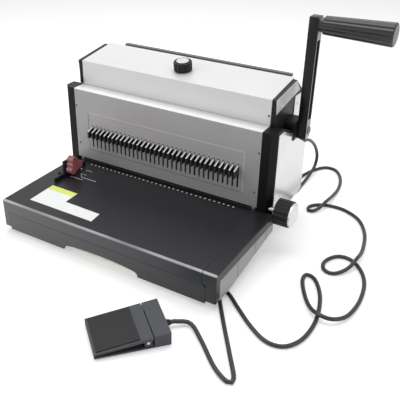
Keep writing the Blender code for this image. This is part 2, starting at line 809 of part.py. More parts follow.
def base_pan():
    top = BASE_LOW + SEAT + PAN_WALL
    pan = part(
        "base_pan",
        box((-PAN_HALF, PAN_HALF), (PAN_FRONT, PAN_REAR), (BASE_LOW + SEAT, top)),
        ZINC,
    )
    near = TRAY_HALF + RUN
    runners = [
        box(sorted((sign * near, sign * (near + PAN_WALL))), (PAN_FRONT, TRAY_REAR),
            (top - PAN_WALL / 2, top + RUNNER_HEIGHT))
        for sign in (-1, 1)
    ]
    join(pan, together(*runners))


def feet():
    for row, y in zip(("front", "rear"), FEET_Y):
        for side, x in (("left", -FOOT_HALF_SPACING), ("right", FOOT_HALF_SPACING)):
            shape = rod("Z", (x, y), FOOT_RADIUS - BASE_EDGE, (0, BASE_LOW), ROUND_SIDES, FOOT_RADIUS)
            part(f"foot_{row}_{side}", shape, RUBBER)


def chip_drawer():
    low = BASE_LOW + SEAT + PAN_WALL + SEAT
    front = BASE_FRONT + BASE_WALL + SEAT
    wall = TRAY_WALL
    inner = TRAY_HALF - wall
    block = box((-TRAY_HALF, TRAY_HALF), (front, TRAY_REAR), (low, TRAY_HIGH))
    tray = part("chip_tray", block, ZINC, "drawer")
    cut(tray, box((-inner, inner), (front + wall, TRAY_REAR - wall), (low + wall, TRAY_HIGH + OVERRUN)))
    arch = [
        (ARCH_X + ARCH_HALF * math.cos(turn), DRAWER_LOW + ARCH_HEIGHT * math.sin(turn) ** 0.5)
        for turn in (math.pi * step / 16 for step in range(17))
    ]
    corner = (DRAWER_RIGHT - DRAWER_CORNER, DRAWER_HIGH - DRAWER_CORNER)
    outline = [
        (DRAWER_RIGHT, DRAWER_LOW),
        *arc(corner, DRAWER_CORNER, 0, 90, 4),
        (DRAWER_LEFT, DRAWER_HIGH),
        (DRAWER_LEFT, DRAWER_LOW),
        *reversed(arch),
    ]
    part("tray_front", plate("Y", (BASE_FRONT, BASE_FRONT + BASE_WALL), outline), BASE_BLACK, "drawer")


def side_frame(side):
    """One of the two plates that carry the die, the shafts and the covers."""
    low = BASE_LOW + SEAT + PAN_WALL + SEAT
    step_front = PANEL_WALL + SEAT
    upper_front = LEDGE_DEPTH + PANEL_WALL + SEAT
    under = PANEL_WALL + RUN
    ledge_under = LEDGE - PANEL_WALL - SEAT
    corner_y = UPPER_REAR - PANEL_WALL - SEAT
    outline = (
        (BASE_REAR + SEAT, low),
        (BASE_REAR + SEAT, TABLE + SEAT),
        (step_front, TABLE + SEAT),
        (step_front, ledge_under),
        (upper_front, ledge_under),
        (upper_front, slanted_z(upper_front) - under),
        (corner_y, slanted_z(corner_y) - under),
        (corner_y, ANVIL_HIGH),
        (FRAME_REAR, ANVIL_LOW - PANEL_WALL),
        (FRAME_REAR, low),
    )
    centres = ((SHAFT_Y, SHAFT_Z), (LEVER_Y, LEVER_Z))
    holes = [circle(centre, SHAFT_RADIUS + SEAT) for centre in centres]
    if side == "right":
        holes.append(circle((MARGIN_Y, MARGIN_Z), MARGIN_SHAFT_RADIUS + SEAT, ROUND_SIDES // 2))
    bm = plate("X", (FRAME_IN, FRAME_IN + FRAME_WALL), outline, *holes)
    frame = part(f"side_frame_{side}", sided(side, bm), ZINC)
    if side == "right":
        window = box(
            (FRAME_IN - OVERRUN, FRAME_IN + FRAME_WALL + OVERRUN),
            (STOP_FRONT - STOP_TRAVEL - RUN, STOP_REAR + RUN),
            (TABLE - RUN, STOP_HIGH + RUN),
        )
        cut(frame, window)
    hubs = [
        plate(
            "X",
            (FRAME_IN - BEARING_PROUD, FRAME_IN + SEAT),
            circle(centre, BEARING_RADIUS),
            circle(centre, SHAFT_RADIUS + SEAT),
        )
        for centre in centres
    ]
    join(frame, sided(side, together(*hubs)))


def rear_rail():
    reach = FRAME_IN - SEAT
    bar = box((-reach, reach), (RAIL_FRONT, FRAME_REAR), (RAIL_LOW, RAIL_LOW + RAIL_HEIGHT))
    part("rear_rail", bar, ZINC)


def front_panel():
    """The folded sheet with its row of slots and the ledge above them."""
    rear = LEDGE_DEPTH + PANEL_WALL
    outline = (
        (0, PANEL_LOW),
        (0, LEDGE),
        (rear, LEDGE),
        (rear, LEDGE - PANEL_WALL),
        (PANEL_WALL, LEDGE - PANEL_WALL),
        (PANEL_WALL, PANEL_LOW),
    )
    panel = part("front_panel", plate("X", (-PANEL_HALF, PANEL_HALF), outline), PANEL_GREY)
    half = SLOT_WIDTH / 2
    slots = []
    for x in slot_places():
        upper = arc((x, SLOT_HIGH - half), half, 0, 180, 4)
        lower = arc((x, SLOT_LOW + half), half, 180, 360, 4)
        slots.append(plate("Y", (-OVERRUN, PANEL_WALL + OVERRUN), upper + lower))
    cut(panel, together(*slots))


def upper_panel():
    """The sheet over the upper housing: its front face, the slanted top and a lip at the rear."""
    wall = PANEL_WALL
    inner_front = LEDGE_DEPTH + wall
    inner_rear = UPPER_REAR - wall
    lip = UPPER_REAR_TOP - UPPER_LIP
    outline = (
        (LEDGE_DEPTH, LEDGE + SEAT),
        (LEDGE_DEPTH, UPPER_FACE_TOP),
        (UPPER_REAR, UPPER_REAR_TOP),
        (UPPER_REAR, lip),
        (inner_rear, lip),
        (inner_rear, slanted_z(inner_rear) - wall),
        (inner_front, slanted_z(inner_front) - wall),
        (inner_front, LEDGE + SEAT),
    )
    panel = part("upper_panel", plate("X", (-PANEL_HALF, PANEL_HALF), outline), TOP_SILVER)
    hole = rod("Z", (0, 0), SPINDLE_RADIUS + SEAT, (-OVERRUN, OVERRUN))
    cut(panel, placed(hole, KNOB_FRAME))


def end_outline(inset=0):
    """The end cover's edge from the ledge back to its tail and round below."""
    return (
        (inset, TABLE + SEAT + inset),
        (inset, LEDGE - inset),
        (LEDGE_DEPTH, LEDGE - inset),
        (END_SHOULDER_Y, END_SHOULDER - inset),
        (END_STEP_Y, END_STEP - inset),
        (END_REAR - inset, END_TAIL - inset),
        (END_REAR - inset, END_LOW_REAR + inset),
        (BASE_REAR + SEAT + inset, END_LOW_FRONT + inset),
        (BASE_REAR + SEAT + inset, TABLE + SEAT + inset),
    )


def end_cover(side):
    """A moulded cover, open towards the machine, with its front edge sloped away to the outside."""
    shell = part(f"end_cover_{side}", sided(side, plate("X", (END_IN, END_OUT), end_outline())), BLACK)
    cavity = plate("X", (END_IN - OVERRUN, END_OUT - END_WALL), end_outline(END_WALL))
    cut(shell, sided(side, cavity))
    # A web behind the sloped edge keeps the wall whole there
    spread = END_WALL * math.hypot(END_BEVEL_SIDE, END_BEVEL_FRONT) / END_BEVEL_FRONT
    web = (
        (END_OUT - END_BEVEL_SIDE - spread, SEAT),
        (END_OUT - SEAT, SEAT),
        (END_OUT - SEAT, END_BEVEL_FRONT + spread * END_BEVEL_FRONT / END_BEVEL_SIDE),
    )
    join(shell, sided(side, plate("Z", (TABLE + 2 * SEAT, LEDGE - SEAT), web)))
    bevel = (
        (END_OUT - END_BEVEL_SIDE, -OVERRUN),
        (END_OUT - END_BEVEL_SIDE, 0),
        (END_OUT, END_BEVEL_FRONT),
        (END_OUT + OVERRUN, END_BEVEL_FRONT),
        (END_OUT + OVERRUN, -OVERRUN),
    )
    cut(shell, sided(side, plate("Z", (TABLE - OVERRUN, LEDGE + OVERRUN), bevel)))
    reach = (FRAME_IN + FRAME_WALL + SEAT, END_OUT - END_WALL / 2)
    posts = [rod("X", place, END_POST_RADIUS, reach, ROUND_SIDES // 2) for place in END_POSTS]
    join(shell, sided(side, together(*posts)))
    if side == "right":
        cut(shell, boss_room(), margin_room())


def boss_room():
    return box(
        (END_IN - OVERRUN, END_OUT + OVERRUN + OVERRUN),
        (LEVER_Y - BOSS_HALF_DEPTH - SEAT, LEVER_Y + BOSS_HALF_DEPTH + SEAT),
        (BOSS_LOW - SEAT, LEDGE + OVERRUN),
    )


def margin_room():
    reach = (END_IN - OVERRUN, END_OUT + OVERRUN + OVERRUN)
    return rod("X", (MARGIN_Y, MARGIN_Z), MARGIN_SHAFT_RADIUS + MARGIN_HOLE, reach)


def side_sheet(side):
    """The brushed sheet on the end cover's outer face."""
    edge = SIDE_SHEET_MARGIN
    outline = (
        (SIDE_SHEET_FRONT, END_LOW_FRONT + edge),
        (SIDE_SHEET_FRONT, LEDGE - edge),
        (LEDGE_DEPTH, LEDGE - edge),
        (END_SHOULDER_Y - edge / 2, END_SHOULDER - edge),
        (END_STEP_Y - edge / 2, END_STEP - edge),
        (END_REAR - edge, END_TAIL - edge),
        (END_REAR - edge / 4, END_LOW_REAR + edge / 4),
        (END_REAR - edge, END_LOW_REAR),
    )
    low = END_OUT + SEAT
    bm = plate("X", (low, low + SIDE_SHEET), outline)
    sheet = part(f"side_sheet_{side}", sided(side, bm), BRUSHED)
    if side == "right":
        cut(sheet, boss_room(), margin_room())


def upper_end(side):
    """The upright black plate that closes the upper housing's end."""
    gap = RUN
    outline = (
        (LEDGE_DEPTH, LEDGE + gap),
        (LEDGE_DEPTH, UPPER_FACE_TOP),
        (UPPER_END_PEAK_Y, slanted_z(UPPER_END_PEAK_Y)),
        (UPPER_END_BACK_Y, UPPER_END_BACK),
        (UPPER_END_TAIL_Y, UPPER_END_TAIL),
        (END_REAR, END_TAIL + gap),
        (END_STEP_Y, END_STEP + gap),
        (END_SHOULDER_Y, END_SHOULDER + gap),
    )
    hole = circle((LEVER_Y, LEVER_Z), SHAFT_RADIUS + SEAT)
    bm = plate("X", (END_IN, UPPER_END_OUT), outline, hole)
    part(f"upper_end_{side}", sided(side, bm), BLACK)


def punch_square(x, side, z):
    return box((x - side / 2, x + side / 2), (PUNCH_Y - side / 2, PUNCH_Y + side / 2), z)


def square_outline(x, side):
    half = side / 2
    return (
        (x - half, PUNCH_Y - half),
        (x + half, PUNCH_Y - half),
        (x + half, PUNCH_Y + half),
        (x - half, PUNCH_Y + half),
    )


def perforated(front, span):
    """A plate across the machine with one square hole under each punch."""
    reach = FRAME_IN - SEAT
    edge = ((-reach, front), (reach, front), (reach, DIE_REAR), (-reach, DIE_REAR))
    hole = PUNCH_SIDE + 2 * PUNCH_CLEARANCE
    return plate("Z", span, edge, *[square_outline(x, hole) for x in slot_places()])


def die_and_stripper():
    part("die_plate", perforated(DIE_FRONT, (DIE_LOW, TABLE)), TOOL_STEEL)
    low = PANEL_LOW + SEAT
    stripper = part("stripper_plate", perforated(STRIPPER_FRONT, (low, STRIPPER_HIGH)), TOOL_STEEL)
    reach = FRAME_IN - SEAT
    legs = [
        box(
            sorted((sign * (reach - SEAT), sign * (reach - STRIPPER_LEG))),
            (STRIPPER_FRONT + SEAT, STRIPPER_LEG_REAR),
            (TABLE + SEAT, (low + STRIPPER_HIGH) / 2),
        )
        for sign in (-1, 1)
    ]
    join(stripper, together(*legs))


def punch_beam():
    """The beam with its punches and the two yokes that go round the eccentrics."""
    reach = FRAME_IN - SEAT
    bar = box((-reach, reach), (BEAM_FRONT, BEAM_REAR), (BEAM_LOW, BEAM_HIGH))
    beam = part("punch_beam", bar, TOOL_STEEL, "punch")
    shanks = [punch_square(x, PUNCH_SIDE, (PUNCH_TIP, BEAM_LOW + SEAT)) for x in slot_places()]
    join(beam, together(*shanks))
    swing = ECCENTRIC_RADIUS + ECCENTRIC_THROW + RUN
    low, high = SHAFT_Z - swing, SHAFT_Z + swing + PUNCH_TRAVEL
    front, rear = SHAFT_Y - swing, SHAFT_Y + swing
    start = (BEAM_FRONT + BEAM_REAR) / 2
    outer = (
        (start, low - YOKE_RIM),
        (rear + YOKE_RIM, low - YOKE_RIM),
        (rear + YOKE_RIM, high + YOKE_RIM),
        (front - YOKE_RIM, high + YOKE_RIM),
        (front - YOKE_RIM, BEAM_HIGH - RUN),
        (start, BEAM_HIGH - RUN),
    )
    window = ((front, low), (rear, low), (rear, high), (front, high))
    yokes = [
        plate("X", (x - YOKE_WALL / 2, x + YOKE_WALL / 2), outer, window)
        for x in (-YOKE_X, YOKE_X)
    ]
    join(beam, together(*yokes))


def drive_train():
    reach = FRAME_IN + FRAME_WALL
    shaft = part("drive_shaft", rod("X", (SHAFT_Y, SHAFT_Z), SHAFT_RADIUS, (-reach, reach)), STEEL, "drive")
    half = YOKE_WALL / 2
    centre = (SHAFT_Y, SHAFT_Z + ECCENTRIC_THROW)
    join(
        shaft,
        together(*[rod("X", centre, ECCENTRIC_RADIUS, (x - half, x + half)) for x in (-YOKE_X, YOKE_X)]),
    )
    bore = circle((SHAFT_Y, SHAFT_Z), SHAFT_RADIUS + SEAT)
    wheel = plate(
        "X", (GEAR_X, GEAR_X + GEAR_WIDTH), gear_outline((SHAFT_Y, SHAFT_Z), GEAR_TEETH, MOTOR_ANGLE), bore
    )
    part("drive_gear", wheel, STEEL, "drive")
    # The gear has a tooth on the line of centres, so the pinion has a gap there
    turn = MOTOR_ANGLE + math.pi + math.pi / PINION_TEETH
    pinion = plate("X", (GEAR_X, GEAR_X + GEAR_WIDTH), gear_outline((MOTOR_Y, MOTOR_Z), PINION_TEETH, turn))
    small = part("motor_pinion", pinion, STEEL, "motor_shaft")
    collar = GEAR_X - RUN - BRACKET_WALL
    join(small, rod("X", (MOTOR_Y, MOTOR_Z), MOTOR_SHAFT_RADIUS, (collar, GEAR_X + RUN), ROUND_SIDES // 2))


def motor():
    end = GEAR_X - RUN - BRACKET_WALL - SEAT
    body = rod("X", (MOTOR_Y, MOTOR_Z), MOTOR_RADIUS, (end - MOTOR_LENGTH, end))
    rims = [edge for edge in body.edges if abs(edge.verts[0].co.x - edge.verts[1].co.x) < SEAT]
    bmesh.ops.bevel(body, geom=rims, offset=MOTOR_END_ROUND, segments=2, profile=0.5, affect="EDGES")
    part("motor", body, TOOL_STEEL)
    low, high = MOTOR_Z - BRACKET_HALF_HEIGHT, MOTOR_Z + BRACKET_HALF_HEIGHT
    front = SHAFT_Y + SHAFT_RADIUS + 2 * RUN
    outline = (
        (front, low),
        (RAIL_FRONT, RAIL_LOW + RAIL_HEIGHT + SEAT),
        (FRAME_REAR, RAIL_LOW + RAIL_HEIGHT + SEAT),
        (FRAME_REAR, low),
        (RAIL_FRONT, high),
        (front, high),
    )
    hole = circle((MOTOR_Y, MOTOR_Z), MOTOR_COLLAR_RADIUS)
    start = end + SEAT
    stand = part("motor_bracket", plate("X", (start, start + BRACKET_WALL - SEAT), outline, hole), ZINC)
    foot = box(
        (start, start + MOTOR_RADIUS),
        (RAIL_FRONT, FRAME_REAR),
        (RAIL_LOW + RAIL_HEIGHT + SEAT, RAIL_LOW + RAIL_HEIGHT + BRACKET_WALL),
    )
    join(stand, foot)


def lever():
    centre = (LEVER_Y, LEVER_Z)
    reach = FRAME_IN + FRAME_WALL
    axle = rod("X", centre, SHAFT_RADIUS, (-reach, ARM_OUT - BOLT_HEAD))
    shaft = part("lever_shaft", axle, STEEL, "lever")
    half = (ARMS_OUT - ARMS_IN) / 2
    middle = (ARMS_OUT + ARMS_IN) / 2
    pinions = []
    for x in (-middle, middle):
        tip = LEVER_PITCH_RADIUS
        teeth = []
        for tooth in range(PINION_TIP_TEETH):
            start = 360 * tooth / PINION_TIP_TEETH
            step = 360 / PINION_TIP_TEETH
            teeth += arc(centre, tip, start, start + step / 3, 1)
            teeth += arc(centre, tip - 2 * GEAR_MODULE, start + step / 2, start + step * 5 / 6, 1)
        pinions.append(plate("X", (x - half, x + half), teeth))
    join(shaft, together(*pinions))
    arm_bm = box((ARM_IN, ARM_OUT), (ARM_FRONT, ARM_REAR), (ARM_LOW, ARM_HIGH), ARM_EDGE)
    arm = part("lever_arm", arm_bm, BLACK, "lever")
    recess_y = (ARM_FRONT + ARM_REAR - ARM_RECESS_WIDTH) / 2
    cut(
        arm,
        box(
            (ARM_OUT - ARM_RECESS_DEPTH, ARM_OUT + OVERRUN),
            (recess_y, recess_y + ARM_RECESS_WIDTH),
            (ARM_RECESS_LOW, ARM_RECESS_HIGH),
        ),
        rod("X", centre, SHAFT_RADIUS + SEAT, (ARM_IN - OVERRUN, ARM_OUT + OVERRUN)),
    )
    grip_start = ARM_OUT + SEAT
    handle = fluted(
        GRIP_IN_RADIUS, GRIP_OUT_RADIUS, (grip_start + GRIP_COLLAR, GRIP_OUT), GRIP_FLUTES, GRIP_GROOVE_SHARE
    )
    rim = [
        edge for edge in handle.edges
        if all(abs(vert.co.z - GRIP_OUT) < SEAT for vert in edge.verts)
    ]
    bmesh.ops.bevel(handle, geom=rim, offset=GRIP_END_ROUND / 2, segments=2, profile=0.5, affect="EDGES")
    grip = part("grip", along_x(handle, GRIP_Y, GRIP_Z), BLACK, "lever")
    neck = GRIP_IN_RADIUS - GRIP_COLLAR / 2
    join(grip, rod("X", (GRIP_Y, GRIP_Z), neck, (grip_start, grip_start + 2 * GRIP_COLLAR)))


def lever_boss():
    low, high = BOSS_LOW, BOSS_HIGH
    front, rear = LEVER_Y - BOSS_HALF_DEPTH, LEVER_Y + BOSS_HALF_DEPTH
    outline = [
        (front, low),
        *reversed(arc((front + BOSS_ROUND, high - BOSS_ROUND), BOSS_ROUND, 90, 180, 4)),
        *reversed(arc((rear - BOSS_ROUND, high - BOSS_ROUND), BOSS_ROUND, 0, 90, 4)),
        (rear, low),
    ]
    hole = circle((LEVER_Y, LEVER_Z), SHAFT_RADIUS + SEAT)
    part("lever_boss", plate("X", (BOSS_IN, BOSS_OUT), outline, hole), BLACK)


def carriage():
    """What the lever moves: the comb of hooks in front, the press bar behind and the arms between."""
    half = HOOK_THICK / 2
    reach = FRAME_IN - SEAT
    back = box((-reach, reach), (COMB_FRONT, COMB_REAR), (COMB_LOW, COMB_HIGH))
    comb = part("hook_comb", back, HOOK_GREY, "carriage")
    root = (COMB_FRONT + COMB_REAR) / 2
    hook = (
        (root, HOOK_ROOT_LOW),
        (HOOK_REACH, HOOK_TIP_LOW),
        (HOOK_REACH, HOOK_TIP_HIGH),
        (0, HOOK_ROOT_HIGH),
        (root, HOOK_ROOT_HIGH),
    )
    join(comb, together(*[plate("X", (x - half, x + half), hook) for x in slot_places()]))
    rack = LEVER_Y - LEVER_PITCH_RADIUS - RACK_CLEARANCE
    start = COMB_REAR + SEAT
    outline = (
        (start, CROSS_LOW),
        (rack, CROSS_LOW),
        (rack, BRIDGE_LOW),
        (COLUMN_REAR, BRIDGE_LOW),
        (COLUMN_REAR, PRESS_LOW - SEAT),
        (COLUMN_FRONT, PRESS_LOW - SEAT),
        (COLUMN_FRONT, RACK_TOP),
        (RACK_FRONT, RACK_TOP),
        (RACK_FRONT, COMB_HIGH),
        (start, COMB_HIGH),
    )
    for side in ("left", "right"):
        part(f"carriage_arm_{side}", sided(side, plate("X", (ARMS_IN, ARMS_OUT), outline)), ZINC, "carriage")
    part(
        "press_bar",
        box((PRESS_LEFT, PRESS_RIGHT), (PRESS_FRONT, PRESS_REAR), (PRESS_LOW, PRESS_HIGH), SEAT),
        TOOL_STEEL,
        "carriage",
    )


def rear_cover():
    vents = []
    half = REAR_VENT_WIDTH / 2
    for number in range(REAR_VENTS):
        x = (number - (REAR_VENTS - 1) / 2) * REAR_VENT_PITCH
        upper = arc((x, REAR_VENT_HIGH - half), half, 0, 180, 3)
        lower = arc((x, REAR_VENT_LOW + half), half, 180, 360, 3)
        vents.append(upper + lower)
    edge = (
        (-PANEL_HALF, REAR_LOW),
        (PANEL_HALF, REAR_LOW),
        (PANEL_HALF, ANVIL_HIGH),
        (-PANEL_HALF, ANVIL_HIGH),
    )
    openings = []
    for x, width, height in (
        (INLET_X, INLET_HALF_WIDTH, INLET_HALF_HEIGHT),
        (SWITCH_X, SWITCH_HALF_WIDTH, SWITCH_HALF_HEIGHT),
    ):
        wide, tall = width + SEAT, height + SEAT
        openings.append(
            (
                (x - wide, INLET_Z - tall),
                (x + wide, INLET_Z - tall),
                (x + wide, INLET_Z + tall),
                (x - wide, INLET_Z + tall),
            )
        )
    part("rear_cover", plate("Y", (REAR_FRONT, REAR_BACK), edge, *vents, *openings), BLACK)
    reach = ARMS_IN - RUN
    part(
        "closing_anvil",
        box((-reach, reach), (ANVIL_FRONT, REAR_FRONT - SEAT), (ANVIL_LOW, ANVIL_HIGH)),
        TOOL_STEEL,
    )


def power_inlet():
    wide, tall = INLET_HALF_WIDTH, INLET_HALF_HEIGHT
    rim = INLET_RIM
    inlet = part(
        "power_inlet",
        box(
            (INLET_X - wide - rim, INLET_X + wide + rim),
            (REAR_OUT, REAR_OUT + INLET_RIM_DEPTH),
            (INLET_Z - tall - rim, INLET_Z + tall + rim),
        ),
        BLACK,
    )
    join(
        inlet,
        box(
            (INLET_X - wide, INLET_X + wide),
            (REAR_FRONT - INLET_DEPTH, REAR_OUT + INLET_RIM_DEPTH / 2),
            (INLET_Z - tall, INLET_Z + tall),
        ),
    )
    wall = INLET_WELL_WALL
    cut(
        inlet,
        box(
            (INLET_X - wide + wall, INLET_X + wide - wall),
            (REAR_OUT - INLET_WELL, REAR_OUT + INLET_RIM_DEPTH + OVERRUN),
            (INLET_Z - tall + wall, INLET_Z + tall - wall),
        ),
    )


def power_switch():
    wide, tall, rim = SWITCH_HALF_WIDTH, SWITCH_HALF_HEIGHT, SWITCH_RIM
    frame = part(
        "switch_frame",
        box(
            (SWITCH_X - wide - rim, SWITCH_X + wide + rim),
            (REAR_OUT, REAR_OUT + INLET_RIM_DEPTH),
            (INLET_Z - tall - rim, INLET_Z + tall + rim),
        ),
        BLACK,
    )
    cut(
        frame,
        box(
            (SWITCH_X - wide + RUN, SWITCH_X + wide - RUN),
            (REAR_OUT - OVERRUN, REAR_OUT + INLET_RIM_DEPTH + OVERRUN),
            (INLET_Z - tall + RUN, INLET_Z + tall - RUN),
        ),
    )
    gap = 2 * RUN
    half = tall - RUN - gap
    bottom = REAR_FRONT
    face = REAR_OUT + INLET_RIM_DEPTH
    outline = (
        (bottom, INLET_Z - half + gap),
        (face + ROCKER_PROUD, INLET_Z - half),
        (face, INLET_Z),
        (face + ROCKER_PROUD, INLET_Z + half),
        (bottom, INLET_Z + half - gap),
    )
    reach = wide - 2 * RUN
    rocker = plate("X", (SWITCH_X - reach, SWITCH_X + reach), outline)
    pivot = Matrix.Translation((0, REAR_BACK, INLET_Z))
    tilt = pivot @ Matrix.Rotation(ROCKER_TILT, 4, "X") @ pivot.inverted()
    part("switch_rocker", placed(rocker, tilt), BLACK, "rocker")


def size_knob():
    body = fluted(KNOB_RADIUS, KNOB_RADIUS, (RUN, KNOB_HEIGHT), KNOB_FLUTES, KNOB_GROOVE_SHARE)
    knob = part("size_knob", placed(body, KNOB_FRAME), BLACK, "size_knob")
    spindle = rod("Z", (0, 0), SPINDLE_RADIUS, (-SPINDLE_LENGTH, KNOB_HEIGHT / 2), ROUND_SIDES // 2)
    join(knob, placed(spindle, KNOB_FRAME))
    low = KNOB_HEIGHT + SEAT
    part(
        "size_knob_cap",
        placed(rod("Z", (0, 0), KNOB_CAP_RADIUS, (low, low + KNOB_CAP)), KNOB_FRAME),
        BRUSHED,
        "size_knob",
    )
    nut = part(
        "size_nut",
        placed(
            box((-NUT_HALF, NUT_HALF), (-NUT_HALF, NUT_HALF), (-NUT_DROP - NUT_HEIGHT, -NUT_DROP)), KNOB_FRAME
        ),
        BRASS,
        "size_nut",
    )
    hole = rod("Z", (0, 0), SPINDLE_RADIUS + SEAT, (-NUT_DROP - NUT_HEIGHT - OVERRUN, -NUT_DROP + OVERRUN))
    cut(nut, placed(hole, KNOB_FRAME))
    # The guide hangs from the sheet as an upside-down U round the nut
    outer = NUT_HALF + SEAT + GUIDE_WALL
    top = -PANEL_WALL - SEAT
    guide = part(
        "nut_guide",
        placed(box((-outer, outer), (-NUT_HALF, NUT_HALF), (-GUIDE_DEPTH, top)), KNOB_FRAME),
        ZINC,
    )
    inner = outer - GUIDE_WALL
    cut(
        guide,
        placed(
            box(
                (-inner, inner),
                (-NUT_HALF - OVERRUN, NUT_HALF + OVERRUN),
                (-GUIDE_DEPTH - OVERRUN, top - GUIDE_WALL),
            ),
            KNOB_FRAME,
        ),
        placed(rod("Z", (0, 0), SPINDLE_RADIUS + SEAT, (top - GUIDE_WALL - OVERRUN, 0)), KNOB_FRAME),
    )


def margin_adjuster():
    knob = fluted(MARGIN_RADIUS, MARGIN_RADIUS, (MARGIN_IN, MARGIN_OUT), MARGIN_FLUTES, MARGIN_GROOVE_SHARE)
    part("margin_knob", along_x(knob, MARGIN_Y, MARGIN_Z), BLACK, "margin_knob")
    centre = (MARGIN_Y, MARGIN_Z)
    start = MARGIN_OUT + SEAT
    disc = rod("X", centre, MARGIN_CAP_RADIUS, (start, start + MARGIN_CAP), FINE_SIDES)
    part("margin_knob_cap", disc, BRUSHED, "margin_knob")
    axle = rod("X", centre, MARGIN_SHAFT_RADIUS, (FRAME_IN, MARGIN_IN - SEAT))
    part("margin_shaft", axle, STEEL, "margin_knob")
    inner = FRAME_IN + FRAME_WALL + RUN
    outer = END_IN - SEAT
    rack_low = MARGIN_Z + MARGIN_SHAFT_RADIUS + SEAT
    rack_high = rack_low + STOP_RACK_HEIGHT
    stop = part(
        "margin_stop",
        box((STOP_LEFT, outer), (STOP_FRONT, STOP_REAR), (STOP_LOW, STOP_HIGH)),
        STEEL,
        "margin_stop",
    )
    outline = (
        (STOP_FRONT, STOP_LOW),
        (STOP_REAR, STOP_LOW),
        (STOP_REAR, rack_high),
        (STOP_RACK_FRONT, rack_high),
        (STOP_RACK_FRONT, rack_low),
        (STOP_FRONT, rack_low),
    )
    join(stop, plate("X", (inner, outer - SEAT), outline))


def side_guide():
    right = GUIDE_X + GUIDE_THICK
    low = TABLE + RUN
    tab = (CLAMP_Y - GUIDE_TAB_HALF, CLAMP_Y + GUIDE_TAB_HALF)
    outline = (
        (GUIDE_FRONT, low),
        (GUIDE_REAR, low),
        (GUIDE_REAR, GUIDE_RAIL_HIGH),
        (tab[1], GUIDE_RAIL_HIGH),
        (tab[1], GUIDE_TAB_HIGH),
        (tab[0], GUIDE_TAB_HIGH),
        (tab[0], GUIDE_RAIL_HIGH),
        (GUIDE_FRONT, GUIDE_RAIL_HIGH),
    )
    hole = circle((CLAMP_Y, CLAMP_Z), CLAMP_STUD_RADIUS + SEAT, ROUND_SIDES // 2)
    part("side_guide", plate("X", (GUIDE_X, right), outline, hole), BLACK, "side_guide")

    room = CLAMP_STUD_RADIUS + RUN
    slot = (
        *arc((CLAMP_Y + GUIDE_TRAVEL, CLAMP_Z), room, -90, 90, 6),
        *arc((CLAMP_Y - GUIDE_TRAVEL, CLAMP_Z), room, 90, 270, 6),
    )
    wall = (
        (CLAMP_Y - BRACKET_HALF, TABLE + SEAT),
        (CLAMP_Y + BRACKET_HALF, TABLE + SEAT),
        (CLAMP_Y + BRACKET_HALF, BRACKET_HIGH),
        (CLAMP_Y - BRACKET_HALF, BRACKET_HIGH),
    )
    bracket = part("guide_bracket", plate("X", (BRACKET_OUT, GUIDE_X - SEAT), wall, slot), BLACK)
    foot = box(
        (BRACKET_FOOT, BRACKET_OUT + RUN),
        (CLAMP_Y - BRACKET_HALF, CLAMP_Y + BRACKET_HALF),
        (TABLE + SEAT, TABLE + BRACKET_FOOT_HIGH),
    )
    join(bracket, foot)

    centre = (CLAMP_Y, CLAMP_Z)
    hub = rod("X", centre, CLAMP_HUB, (CLAMP_IN, CLAMP_OUT), FINE_SIDES)
    knob = part("clamp_knob", hub, CLAMP_RED, "clamp")
    for lobe in range(CLAMP_LOBES):
        turn = CLAMP_TURN + math.tau * lobe / CLAMP_LOBES
        place = (
            CLAMP_Y + (CLAMP_REACH - CLAMP_LOBE_RADIUS) * math.cos(turn),
            CLAMP_Z + (CLAMP_REACH - CLAMP_LOBE_RADIUS) * math.sin(turn),
        )
        join(knob, rod("X", place, CLAMP_LOBE_RADIUS, (CLAMP_IN - SEAT / 10, CLAMP_OUT + SEAT / 10)))
    join(knob, rod("X", centre, CLAMP_STUD_RADIUS, (CLAMP_STUD_END, CLAMP_IN + RUN), ROUND_SIDES // 2))


def pedal_top(u):
    share = u / PEDAL_LENGTH + 0.5
    return PEDAL_TOP_FRONT + (PEDAL_TOP_REAR - PEDAL_TOP_FRONT) * share


